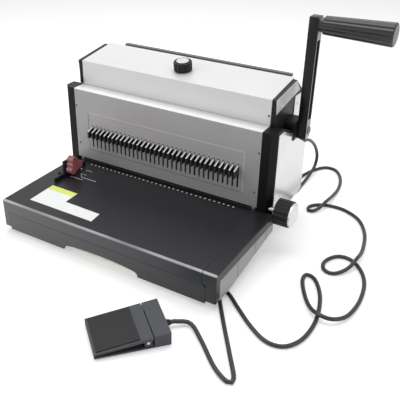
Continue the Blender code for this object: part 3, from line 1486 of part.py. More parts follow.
def pedal():
    half = PEDAL_LENGTH / 2
    wide = PEDAL_WIDTH / 2
    floor = PEDAL_FOOT
    deck = floor + PEDAL_PLATE
    split = PEDAL_SPLIT_U
    outline = (
        (-half, floor),
        (half, floor),
        (half, pedal_top(half)),
        (split, pedal_top(split)),
        (split, deck),
        (-half, deck),
    )
    turned = PEDAL_FRAME @ TURNS["Y"]
    upright_plate = plate("Z", (-wide, wide), outline)
    base = part("pedal_base", upright(placed(upright_plate, turned)), PEDAL_BLACK)
    inset = PEDAL_FOOT_INSET
    bumps = [
        rod("Z", (u, v), PEDAL_FOOT_RADIUS, (0, floor + RUN), ROUND_SIDES // 2)
        for u in (-half + inset, half - inset)
        for v in (-wide + inset, wide - inset)
    ]
    join(base, placed(together(*bumps), PEDAL_FRAME))
    # Lugs inside the tread carry the pin
    lug = PEDAL_LUG_WIDTH
    post = (
        (PEDAL_PIN_U - PEDAL_LUG_HALF, deck - RUN),
        (PEDAL_PIN_U + PEDAL_LUG_HALF, deck - RUN),
        *arc((PEDAL_PIN_U, PEDAL_PIN_Z), PEDAL_PIN_RADIUS + PEDAL_LUG_WIDTH / 2, 0, 180, 6),
    )
    inner = wide - 2 * lug
    lugs = [plate("Z", (v, v + lug), post) for v in (-inner, inner - lug)]
    join(base, upright(placed(together(*lugs), turned)))
    pin_hole = circle((PEDAL_PIN_U, PEDAL_PIN_Z), PEDAL_PIN_RADIUS + SEAT, ROUND_SIDES // 2)
    cut(base, upright(placed(plate("Z", (-wide, wide), pin_hole), turned)))

    end = split - 2 * RUN
    skin = PEDAL_TREAD_FRONT
    cover = (
        (-half, pedal_top(-half) - skin),
        (-half, pedal_top(-half)),
        (end, pedal_top(end)),
        (end, pedal_top(end) - 2 * skin),
    )
    top_plate = upright(placed(plate("Z", (-wide, wide), cover), turned))
    tread = part("pedal_tread", top_plate, PEDAL_BLACK, "tread")
    cheek_low = PEDAL_PIN_Z - 2 * PEDAL_PIN_RADIUS
    cheek = (
        (PEDAL_PIN_U - PEDAL_LUG_HALF, pedal_top(PEDAL_PIN_U) - skin),
        (PEDAL_PIN_U - PEDAL_LUG_HALF, cheek_low),
        (PEDAL_PIN_U + PEDAL_LUG_HALF, cheek_low),
        (PEDAL_PIN_U + PEDAL_LUG_HALF, pedal_top(PEDAL_PIN_U) - skin),
    )
    spans = ((SEAT - wide, -inner - RUN), (inner + RUN, wide - SEAT))
    cheeks = [plate("Z", span, cheek) for span in spans]
    join(tread, upright(placed(together(*cheeks), turned)))
    bore = plate("Z", (-wide - OVERRUN, wide + OVERRUN), pin_hole)
    cut(tread, upright(placed(bore, turned)))
    room = (
        (PEDAL_PIN_U - PEDAL_LUG_HALF - RUN, 0),
        (PEDAL_PIN_U + PEDAL_LUG_HALF + RUN, 0),
        *arc((PEDAL_PIN_U, PEDAL_PIN_Z), PEDAL_PIN_RADIUS + PEDAL_LUG_WIDTH / 2 + RUN, 0, 180, 6),
    )
    rooms = [plate("Z", (v - RUN, v + lug + RUN), room) for v in (-inner, inner - lug)]
    cut(tread, upright(placed(together(*rooms), turned)))
    pin_face = circle((PEDAL_PIN_U, PEDAL_PIN_Z), PEDAL_PIN_RADIUS, ROUND_SIDES // 2)
    pin = plate("Z", (RUN - wide, wide - RUN), pin_face)
    part("pedal_pin", upright(placed(pin, turned)), STEEL)
    # The ribbed rubber sheet lies on the tread's front part
    margin = PEDAL_PAD_INSET
    rear = (PEDAL_PAD_SHARE - 0.5) * PEDAL_LENGTH
    sheet = (
        (-half + margin, pedal_top(-half + margin) + SEAT),
        (-half + margin, pedal_top(-half + margin) + PEDAL_PAD),
        (rear, pedal_top(rear) + PEDAL_PAD),
        (rear, pedal_top(rear) + SEAT),
    )
    pad = plate("Z", (-wide + margin, wide - margin), sheet)
    part("pedal_pad", upright(placed(pad, turned)), RUBBER, "tread")
    start = half + SEAT
    span = (start, start + GLAND_LENGTH)
    gland = rod("X", (0, GLAND_RADIUS + floor), GLAND_RADIUS, span, 16, RELIEF_END_RADIUS)
    part("pedal_gland", placed(gland, PEDAL_FRAME), RUBBER)


def smooth_route(places):
    """Points read at even steps along a smooth curve through the given places."""
    fine = []
    ends = [2 * places[0] - places[1], *places, 2 * places[-1] - places[-2]]
    for before, start, end, after in zip(ends, ends[1:], ends[2:], ends[3:]):
        for step in range(12):
            t = step / 12
            fine.append(
                0.5
                * (
                    2 * start
                    + (end - before) * t
                    + (2 * before - 5 * start + 4 * end - after) * t**2
                    + (3 * start - before - 3 * end + after) * t**3
                )
            )
    fine.append(places[-1])
    read = [fine[0]]
    walked = 0
    for last, here in zip(fine, fine[1:]):
        walked += (here - last).length
        if walked >= CORD_STEP:
            read.append(here)
            walked = 0
    if walked > CORD_STEP / 2:
        read.append(fine[-1])
    else:
        read[-1] = fine[-1]
    return read


def cord():
    centre = (CORD_EXIT_X, CORD_EXIT_Z)
    relief = rod("Y", centre, RELIEF_RADIUS, (REAR_OUT, REAR_OUT + RELIEF_LENGTH), 16, RELIEF_END_RADIUS)
    part("strain_relief", relief, RUBBER)
    low = GLAND_RADIUS + PEDAL_FOOT
    gland_end = PEDAL_FRAME @ Vector((PEDAL_LENGTH / 2 + 2 * SEAT + GLAND_LENGTH, 0, low))
    before = PEDAL_FRAME @ Vector((PEDAL_LENGTH / 2 + GLAND_LENGTH + CORD_LEAD, 0, low))
    first = Vector((CORD_EXIT_X, REAR_OUT + RELIEF_LENGTH + SEAT, CORD_EXIT_Z))
    second = first + Vector((0, CORD_LEAD, 0))
    places = [second, *[Vector(place) for place in CORD_ROUTE], before]
    curve = bpy.data.curves.new("pedal_cord", "CURVE")
    curve.dimensions = "3D"
    curve.bevel_depth = CORD_RADIUS
    curve.bevel_resolution = 2
    curve.use_fill_caps = True
    points = [first, *smooth_route(places), gland_end]
    spline = curve.splines.new("POLY")
    spline.points.add(len(points) - 1)
    for point, place in zip(spline.points, points):
        point.co = (*place, 1)
    curve.materials.append(CORD_BLACK)
    made = bpy.data.objects.new("pedal_cord", curve)
    made.parent = BODIES["chassis"]
    PARTS.objects.link(made)
    length = sum((b - a).length for a, b in zip(points, points[1:]))
    print(f"cord: {len(points)} points, {length:.3f} m")


def centre_on_origin():
    """Stands the middle of everything but the cord over the origin."""
    bpy.context.view_layer.update()
    graph = bpy.context.evaluated_depsgraph_get()
    corners = []
    for obj in PARTS.objects:
        if obj.type == "MESH":
            solid = obj.evaluated_get(graph)
            corners += [solid.matrix_world @ Vector(corner) for corner in solid.bound_box]
    for axis in (0, 1):
        reach = [corner[axis] for corner in corners]
        ROOT.location[axis] = -(min(reach) + max(reach)) / 2
    print("root at", [round(value, 6) for value in ROOT.location])


def build():
    base_cover()
    base_side_plate("left", BASE_LEFT, 1)
    base_side_plate("right", BASE_RIGHT, -1)
    base_pan()
    feet()
    chip_drawer()
    for side in ("left", "right"):
        side_frame(side)
        end_cover(side)
        side_sheet(side)
        upper_end(side)
    rear_rail()
    front_panel()
    upper_panel()
    die_and_stripper()
    punch_beam()
    drive_train()
    motor()
    lever()
    lever_boss()
    carriage()
    rear_cover()
    power_inlet()
    power_switch()
    size_knob()
    margin_adjuster()
    side_guide()
    pedal()
    cord()
    centre_on_origin()


build()
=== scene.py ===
"""Finishes, trims, prints, knobs, pedal and cord of the desk binding machine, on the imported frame."""

import json
import math

import bmesh
import bpy
from mathutils import Matrix, Vector


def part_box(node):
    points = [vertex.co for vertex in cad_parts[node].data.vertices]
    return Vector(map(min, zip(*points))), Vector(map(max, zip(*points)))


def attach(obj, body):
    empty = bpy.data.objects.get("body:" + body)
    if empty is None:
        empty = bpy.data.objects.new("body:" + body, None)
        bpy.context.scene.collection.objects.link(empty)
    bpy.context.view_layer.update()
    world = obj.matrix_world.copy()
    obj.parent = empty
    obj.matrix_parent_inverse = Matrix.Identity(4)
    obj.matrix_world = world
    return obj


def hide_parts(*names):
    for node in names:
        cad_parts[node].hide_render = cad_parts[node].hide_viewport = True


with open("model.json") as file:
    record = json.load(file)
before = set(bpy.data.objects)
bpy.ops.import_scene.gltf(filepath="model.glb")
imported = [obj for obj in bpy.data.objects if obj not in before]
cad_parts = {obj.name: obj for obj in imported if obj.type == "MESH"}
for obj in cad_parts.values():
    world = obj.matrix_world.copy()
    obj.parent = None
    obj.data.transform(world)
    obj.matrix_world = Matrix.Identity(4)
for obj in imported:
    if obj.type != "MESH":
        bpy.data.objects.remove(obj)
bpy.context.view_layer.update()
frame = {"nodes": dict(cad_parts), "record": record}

# The machine's own frame: x = 0 at the panel's middle, y = 0 on its face, z = 0 on the desk
PANEL_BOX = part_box("front_panel")
ORIGIN = Vector(((PANEL_BOX[0].x + PANEL_BOX[1].x) / 2, PANEL_BOX[0].y, 0))
BODY_OF = {node: body for body, nodes in frame["record"]["behaviour"]["bodies"].items() for node in nodes}


def span(node, axis):
    """The lowest and highest coordinate of a CAD node along X, Y or Z, in the machine's own frame."""
    low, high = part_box(node)
    return low[axis] - ORIGIN[axis], high[axis] - ORIGIN[axis]


X, Y, Z = range(3)
BASE_FRONT = span("base_cover", Y)[0]
TABLE_TOP = span("base_cover", Z)[1]
# How far a laid-on piece stands off the face under it, and how thick a print is
PROUD = 0.0001
PRINT = 0.00006
# Edges sharper than the first are rounded; edges sharper than the second are shaded as creases
SHARP_ANGLE = math.radians(20)
CREASE_ANGLE = math.radians(38)

# Camera and stage
CAMERA_PLACE = Vector((0.5073, -0.7919, 0.5650))
CAMERA_TURN = (math.radians(60.09), 0, math.radians(32.05))
CAMERA_LENS = 57.27
CAMERA_SHIFT = 0.0827
FLOOR_SIZE = 12.0
FLOOR_WHITE = (0.86, 0.86, 0.86, 1)
FLOOR_LIFT = 0.38
SKY_TINT = (1.0, 0.99, 0.98, 1)
SKY_LIGHT = 0.42
WHITE = (1, 1, 1, 1)
LAMP_AIM = (0, 0, 0.1)
# Each lamp's name, place, width and depth in metres, and watts
LAMPS = (
    ("top_light", (-0.15, 0.25, 1.5), (1.6, 1.2), 15.5),
    ("front_left_light", (-0.95, -1.15, 0.75), (0.9, 0.7), 5),
    ("right_light", (1.7, -0.2, 0.7), (0.9, 0.9), 5),
)

# Cord, repeated from the part's source
CORD_RADIUS = 0.0030
CORD_STEP = 0.0220
CORD_LEAD = 0.0060
SEAT = 0.0003
CORD_EXIT_Z = 0.1040
PEDAL_PLACE = Vector((0.1290, -0.2850, 0))
PEDAL_TURN = math.radians(48)
PEDAL_LENGTH = 0.0995
GLAND_LENGTH = 0.0080
GLAND_HEIGHT = 0.0077
PEDAL_FRAME = Matrix.Translation(PEDAL_PLACE) @ Matrix.Rotation(PEDAL_TURN, 4, "Z")
CORD_ROUTE = (
    (0.1655, 0.1780, 0.1035),
    (0.1690, 0.2000, 0.0990),
    (0.1700, 0.2280, 0.0890),
    (0.1700, 0.2570, 0.0700),
    (0.1700, 0.2780, 0.0480),
    (0.1700, 0.2860, 0.0280),
    (0.1700, 0.2760, 0.0130),
    (0.1700, 0.2480, 0.0060),
    (0.1700, 0.2170, 0.0031),
    (0.1700, 0.1880, 0.0031),
    (0.1630, 0.1680, 0.0031),
    (0.1490, 0.1620, 0.0031),
    (0.1380, 0.1720, 0.0031),
    (0.1400, 0.1930, 0.0031),
    (0.1510, 0.2120, 0.0031),
    (0.1560, 0.2400, 0.0031),
    (0.1640, 0.2740, 0.0031),
    (0.1800, 0.3040, 0.0031),
    (0.1990, 0.3080, 0.0031),
    (0.2150, 0.2920, 0.0031),
    (0.2270, 0.2650, 0.0031),
    (0.2330, 0.2320, 0.0031),
    (0.2340, 0.2000, 0.0060),
    (0.2330, 0.1700, 0.0095),
    (0.2270, 0.1430, 0.0050),
    (0.2160, 0.1340, 0.0031),
    (0.2110, 0.1470, 0.0031),
    (0.2220, 0.1620, 0.0031),
    (0.2450, 0.1700, 0.0031),
    (0.2710, 0.1670, 0.0031),
    (0.2990, 0.1480, 0.0031),
    (0.3200, 0.1100, 0.0031),
    (0.3310, 0.0610, 0.0055),
    (0.3320, 0.0280, 0.0095),
    (0.3270, 0.0000, 0.0060),
    (0.3130, -0.0180, 0.0031),
    (0.2970, -0.0160, 0.0031),
    (0.2910, 0.0040, 0.0031),
    (0.3020, 0.0270, 0.0031),
    (0.3220, 0.0300, 0.0031),
    (0.3440, 0.0110, 0.0031),
    (0.3590, -0.0200, 0.0031),
    (0.3650, -0.0630, 0.0031),
    (0.3610, -0.1020, 0.0045),
    (0.3480, -0.1230, 0.0080),
    (0.3310, -0.1260, 0.0095),
    (0.3130, -0.1140, 0.0060),
    (0.2950, -0.0880, 0.0031),
    (0.2800, -0.0580, 0.0031),
    (0.2800, -0.0410, 0.0031),
    (0.2950, -0.0470, 0.0031),
    (0.3130, -0.0760, 0.0031),
    (0.3250, -0.1140, 0.0031),
    (0.3290, -0.1480, 0.0031),
    (0.3250, -0.1800, 0.0031),
    (0.3110, -0.2010, 0.0031),
    (0.2880, -0.2040, 0.0031),
    (0.2590, -0.1880, 0.0031),
    (0.2280, -0.1630, 0.0031),
    (0.2040, -0.1430, 0.0031),
    (0.1920, -0.1410, 0.0031),
    (0.1940, -0.1530, 0.0031),
    (0.2230, -0.1970, 0.0031),
    (0.2610, -0.2510, 0.0031),
    (0.2820, -0.2820, 0.0031),
    (0.2790, -0.2920, 0.0031),
    (0.2540, -0.2790, 0.0031),
    (0.2180, -0.2470, 0.0035),
    (0.1900, -0.2270, 0.0050),
)

# Turns that carry a shape drawn on +Z to face right or forward, its outline's second axis then up
TO_RIGHT = Matrix(((0, 0, 1, 0), (1, 0, 0, 0), (0, 1, 0, 0), (0, 0, 0, 1)))
TO_FRONT = Matrix(((1, 0, 0, 0), (0, 0, -1, 0), (0, 1, 0, 0), (0, 0, 0, 1)))


def camera():
    data = bpy.data.cameras.new("camera")
    data.lens = CAMERA_LENS
    data.shift_x = CAMERA_SHIFT
    made = bpy.data.objects.new("camera", data)
    made.location = CAMERA_PLACE + ORIGIN
    made.rotation_euler = CAMERA_TURN
    bpy.context.scene.collection.objects.link(made)
    bpy.context.scene.camera = made


def softbox(name, place, size, watts):
    data = bpy.data.lights.new(name, "AREA")
    data.shape = "RECTANGLE"
    data.size, data.size_y = size
    data.energy = watts
    made = bpy.data.objects.new(name, data)
    made.location = Vector(place) + ORIGIN
    made.rotation_euler = (Vector(LAMP_AIM) - Vector(place)).to_track_quat("-Z", "Y").to_euler()
    bpy.context.scene.collection.objects.link(made)


def lights():
    for lamp in LAMPS:
        softbox(*lamp)


def seen_mask(tree):
    """1 where a surface or the sky is seen straight, in a reflection or through glass."""
    path = tree.nodes.new("ShaderNodeLightPath")
    most = path.outputs["Is Camera Ray"]
    for output in ("Is Glossy Ray", "Is Transmission Ray"):
        most = math_node(tree, "MAXIMUM", most, path.outputs[output])
    return most


def sky():
    """White where it is seen, and dimmer where it only lights the machine."""
    world = bpy.data.worlds.new("studio")
    world.use_nodes = True
    bpy.context.scene.world = world
    tree = world.node_tree
    dim = tree.nodes["Background"]
    dim.inputs["Color"].default_value = SKY_TINT
    dim.inputs["Strength"].default_value = SKY_LIGHT
    white = tree.nodes.new("ShaderNodeBackground")
    white.inputs["Strength"].default_value = 1.0
    white.inputs["Color"].default_value = WHITE
    mix = tree.nodes.new("ShaderNodeMixShader")
    tree.links.new(seen_mask(tree), mix.inputs[0])
    tree.links.new(dim.outputs[0], mix.inputs[1])
    tree.links.new(white.outputs[0], mix.inputs[2])
    tree.links.new(mix.outputs[0], tree.nodes["World Output"].inputs["Surface"])


def floor():
    """A pale floor that reads white where it is lit and keeps the machine's shadow."""
    made = bpy.data.materials.new("floor_white")
    made.use_nodes = True
    tree = made.node_tree
    shader = tree.nodes["Principled BSDF"]
    shader.inputs["Base Color"].default_value = FLOOR_WHITE
    shader.inputs["Roughness"].default_value = 0.9
    shader.inputs["Specular IOR Level"].default_value = 0.1
    lift = tree.nodes.new("ShaderNodeEmission")
    lift.inputs["Color"].default_value = WHITE
    share = math_node(tree, "MULTIPLY", seen_mask(tree), FLOOR_LIFT)
    tree.links.new(share, lift.inputs["Strength"])
    add = tree.nodes.new("ShaderNodeAddShader")
    tree.links.new(shader.outputs[0], add.inputs[0])
    tree.links.new(lift.outputs[0], add.inputs[1])
    tree.links.new(add.outputs[0], tree.nodes["Material Output"].inputs["Surface"])
    bm = bmesh.new()
    bmesh.ops.create_grid(bm, x_segments=1, y_segments=1, size=FLOOR_SIZE / 2)
    mesh = bpy.data.meshes.new("floor")
    bm.to_mesh(mesh)
    bm.free()
    mesh.materials.append(made)
    plane = bpy.data.objects.new("floor", mesh)
    bpy.context.scene.collection.objects.link(plane)


# Materials

def tone(red, green, blue):
    """The linear colour of a screen colour."""
    return (*[c / 12.92 if c <= 0.04045 else ((c + 0.055) / 1.055) ** 2.4 for c in (red, green, blue)], 1)


def scaled(colour, factor):
    return (*[min(1, c * factor) for c in colour[:3]], 1)


def math_node(tree, operation, first, second):
    made = tree.nodes.new("ShaderNodeMath")
    made.operation = operation
    for socket, value in zip(made.inputs, (first, second)):
        if isinstance(value, (int, float)):
            socket.default_value = value
        else:
            tree.links.new(value, socket)
    return made.outputs[0]


def remap(tree, value, start, end, low, high):
    made = tree.nodes.new("ShaderNodeMapRange")
    tree.links.new(value, made.inputs["Value"])
    for socket, number in zip(made.inputs[1:5], (start, end, low, high)):
        socket.default_value = number
    return made.outputs["Result"]


def blend(tree, share, first, second):
    """A colour between two, each a colour or a link."""
    made = tree.nodes.new("ShaderNodeMix")
    made.data_type = "RGBA"
    tree.links.new(share, made.inputs["Factor"])
    for socket, value in zip((made.inputs[6], made.inputs[7]), (first, second)):
        if isinstance(value, tuple):
            socket.default_value = value
        else:
            tree.links.new(value, socket)
    return made.outputs[2]


def place_node(tree, stretch=(1, 1, 1)):
    """Object coordinates, counted in metres from the machine's own origin and then stretched."""
    coordinates = tree.nodes.new("ShaderNodeTexCoord")
    centre = tree.nodes.new("ShaderNodeMapping")
    centre.inputs["Location"].default_value = -ORIGIN
    tree.links.new(coordinates.outputs["Object"], centre.inputs["Vector"])
    made = tree.nodes.new("ShaderNodeMapping")
    made.inputs["Scale"].default_value = stretch
    tree.links.new(centre.outputs["Vector"], made.inputs["Vector"])
    return made.outputs["Vector"]


def noise(tree, vector, scale, detail):
    made = tree.nodes.new("ShaderNodeTexNoise")
    made.inputs["Scale"].default_value = scale
    made.inputs["Detail"].default_value = detail
    tree.links.new(vector, made.inputs["Vector"])
    return made.outputs["Fac"]


def axes_of(tree, vector):
    """The X, Y and Z of a vector."""
    split = tree.nodes.new("ShaderNodeSeparateXYZ")
    tree.links.new(vector, split.inputs["Vector"])
    return split.outputs[0], split.outputs[1], split.outputs[2]


def colour_of(made):
    """A finish's tree, the socket of its colour and what feeds that socket."""
    socket = made.node_tree.nodes["Principled BSDF"].inputs["Base Color"]
    return made.node_tree, socket, socket.links[0].from_socket


# Cosines between the true and the softened normal where an edge's lighter tone, partly wear and partly
# painted highlight, starts and is full
SHEEN_AND_WEAR_START, SHEEN_AND_WEAR_FULL = 0.99, 0.80
EDGE_SAMPLES = 6
# Noise values that are taken as its low and high ends, for soft drifts and for the grain
DRIFT_ENDS = (0.3, 0.7)
GRAIN_ENDS = (0.25, 0.75)
NOISE_DETAIL = 3
ROUGHNESS_SWING = 0.06
LEAST_ROUGHNESS = 0.02
LEAST_SHEEN_AND_WEAR_SHARE = 0.6
GRAIN_DEPTH = 0.0002
STREAK_TONE = 0.55
SHEEN_AND_WEAR_TONE = 1.5


def rounded(tree, radius):
    """The surface's normal with its sharp edges softened, and a mask of those edges."""
    bevel = tree.nodes.new("ShaderNodeBevel")
    bevel.samples = EDGE_SAMPLES
    bevel.inputs["Radius"].default_value = radius
    geometry = tree.nodes.new("ShaderNodeNewGeometry")
    dot = tree.nodes.new("ShaderNodeVectorMath")
    dot.operation = "DOT_PRODUCT"
    tree.links.new(bevel.outputs["Normal"], dot.inputs[0])
    tree.links.new(geometry.outputs["Normal"], dot.inputs[1])
    return bevel.outputs["Normal"], remap(tree, dot.outputs["Value"], SHEEN_AND_WEAR_START, SHEEN_AND_WEAR_FULL, 0, 1)


def surface(
    name, colour, roughness, metallic=0.0, cloud=0.05, cloud_scale=16.0, grain=1600.0, relief=0.08,
    stretch=(1, 1, 1), streak=0.0, edge=None, edge_sheen_and_wear=0.5, radius=0.0005, gloss=0.5,
):
    """A finish whose tone drifts softly, with a fine grain, softened edges and a lighter tone on them that is
    partly wear and partly painted highlight.
    """
    made = bpy.data.materials.new(name)
    made.use_nodes = True
    tree = made.node_tree
    shader = tree.nodes["Principled BSDF"]
    shader.inputs["Metallic"].default_value = metallic
    shader.inputs["Specular IOR Level"].default_value = gloss
    here = place_node(tree)
    drift = noise(tree, here, cloud_scale, NOISE_DETAIL)
    along = place_node(tree, stretch)
    fine = noise(tree, along, grain, NOISE_DETAIL)
    clouds = remap(tree, drift, *DRIFT_ENDS, 0, 1)
    tint = blend(tree, clouds, scaled(colour, 1 - cloud), scaled(colour, 1 + cloud))
    if streak:
        lines = remap(tree, fine, *DRIFT_ENDS, 0, 1)
        tint = blend(tree, math_node(tree, "MULTIPLY", lines, streak), tint, scaled(colour, STREAK_TONE))
    normal, edges = rounded(tree, radius)
    # Edges take a lighter tone, from the edge colour or a lightened copy: partly wear, partly painted
    # highlight.
    patchy = remap(tree, drift, *DRIFT_ENDS, edge_sheen_and_wear * LEAST_SHEEN_AND_WEAR_SHARE, edge_sheen_and_wear)
    sheen_and_wear = math_node(tree, "MULTIPLY", edges, patchy)
    tint = blend(tree, sheen_and_wear, tint, edge or scaled(colour, SHEEN_AND_WEAR_TONE))
    tree.links.new(tint, shader.inputs["Base Color"])
    smoothest = max(LEAST_ROUGHNESS, roughness - ROUGHNESS_SWING)
    rough = remap(tree, fine, *GRAIN_ENDS, smoothest, roughness + ROUGHNESS_SWING)
    tree.links.new(rough, shader.inputs["Roughness"])
    bump = tree.nodes.new("ShaderNodeBump")
    bump.inputs["Strength"].default_value = relief
    bump.inputs["Distance"].default_value = GRAIN_DEPTH
    tree.links.new(fine, bump.inputs["Height"])
    tree.links.new(normal, bump.inputs["Normal"])
    tree.links.new(bump.outputs["Normal"], shader.inputs["Normal"])
    return made


# Heights below the panel's top between which its paint gives way to the ledge's painted highlight
LEDGE_FADE = (0.0012, 0.0006)
# Depths behind the panel's face over which the ledge's painted highlight dims
LEDGE_DEPTH = (0.004, 0.024)
LEDGE_HIGHLIGHT_FRONT = tone(0.97, 0.97, 0.97)
LEDGE_HIGHLIGHT_BACK = tone(0.80, 0.80, 0.80)


def panel_finish():
    """Satin grey paint on the slotted panel, with a painted highlight on the ledge above it that dims toward
    the back.
    """
    made = surface(
        "panel_grey_paint", tone(0.66, 0.655, 0.655), 0.42, 0.2, cloud=0.04, grain=2600, relief=0.05,
    )
    tree, socket, tint = colour_of(made)
    _, y, z = axes_of(tree, place_node(tree))
    top = span("front_panel", Z)[1]
    # Above the panel's top, the ledge takes a painted highlight that dims with depth.
    ledge = remap(tree, z, top - LEDGE_FADE[0], top - LEDGE_FADE[1], 0, 1)
    bright = blend(tree, remap(tree, y, *LEDGE_DEPTH, 0, 1), LEDGE_HIGHLIGHT_FRONT, LEDGE_HIGHLIGHT_BACK)
    tree.links.new(blend(tree, ledge, tint, bright), socket)
    return made


# The base's front: how near to its face it takes a painted reflection, the X over which that reflection is
# graded, and the reach of the painted highlight along its top edge backward and down, with the patches that
# break it up
REFLECTION_FADE = (0.0012, 0.0006)
REFLECTION_WIDTH = (-0.185, 0.19)
HIGHLIGHT_DEPTH = (0.0042, 0.0030)
HIGHLIGHT_HEIGHT = (0.0026, 0.0014)
EDGE_HIGHLIGHT_TONE = tone(0.74, 0.74, 0.75)
PATCH_STRETCH = (1, 0.02, 0.02)
PATCH_SCALE = 7
PATCH_ENDS = (0.40, 0.56)
LEAST_PATCH = 0.35


def base_finish(name, left, right):
    """Black moulding with a painted reflection on its front, greyer to the left, and a painted highlight
    along its top edge.
    """
    made = surface(
        name, tone(0.125, 0.125, 0.14), 0.36, grain=1500, relief=0.14, cloud=0.12, cloud_scale=7,
        edge=tone(0.40, 0.40, 0.42), edge_sheen_and_wear=0.7, radius=0.0009, gloss=0.28,
    )
    tree, socket, tint = colour_of(made)
    x, y, z = axes_of(tree, place_node(tree))
    # The front face takes a painted reflection, lighter to the left.
    face = remap(tree, y, BASE_FRONT + REFLECTION_FADE[0], BASE_FRONT + REFLECTION_FADE[1], 0, 1)
    tint = blend(tree, face, tint, blend(tree, remap(tree, x, *REFLECTION_WIDTH, 0, 1), left, right))
    # The light line along the top edge is a painted highlight, broken into patches.
    near = remap(tree, y, BASE_FRONT + HIGHLIGHT_DEPTH[0], BASE_FRONT + HIGHLIGHT_DEPTH[1], 0, 1)
    high = remap(tree, z, TABLE_TOP - HIGHLIGHT_HEIGHT[0], TABLE_TOP - HIGHLIGHT_HEIGHT[1], 0, 1)
    line = math_node(tree, "MULTIPLY", near, high)
    drift = noise(tree, place_node(tree, PATCH_STRETCH), PATCH_SCALE, 1)
    patches = remap(tree, drift, *PATCH_ENDS, LEAST_PATCH, 1)
    tint = blend(tree, math_node(tree, "MULTIPLY", line, patches), tint, EDGE_HIGHLIGHT_TONE)
    tree.links.new(tint, socket)
    return made


# How far the grain is drawn out along a brushed face
BRUSHED_SQUEEZE = 0.012
# The upward part of a hook's normal where its painted highlight starts and is full
UPPER_FACES = (0.5, 0.7)
HOOK_HIGHLIGHT = tone(0.93, 0.93, 0.94)


def brushed(name, colour, along, roughness, metallic=0.85):
    """Brushed metal, its lines along one axis."""
    stretch = tuple(BRUSHED_SQUEEZE if axis == along else 1 for axis in (X, Y, Z))
    return surface(
        name, colour, roughness, metallic, cloud=0.05, grain=2400, relief=0.12, stretch=stretch, streak=0.22
    )


def hook_finish():
    """Hooks darkened as painted shade between the close-set plates, with a painted highlight on their upward
    faces.
    """
    # The steel's dark tone is painted shade; the upward faces take a painted highlight.
    made = surface(
        "hook_steel_painted_shade", tone(0.22, 0.22, 0.23), 0.38, 0.3, grain=2600, relief=0.05, edge_sheen_and_wear=0.3, gloss=0.25,
    )
    tree, socket, tint = colour_of(made)
    _, _, up = axes_of(tree, tree.nodes.new("ShaderNodeNewGeometry").outputs["Normal"])
    tree.links.new(blend(tree, remap(tree, up, *UPPER_FACES, 0, 1), tint, HOOK_HIGHLIGHT), socket)
    return made


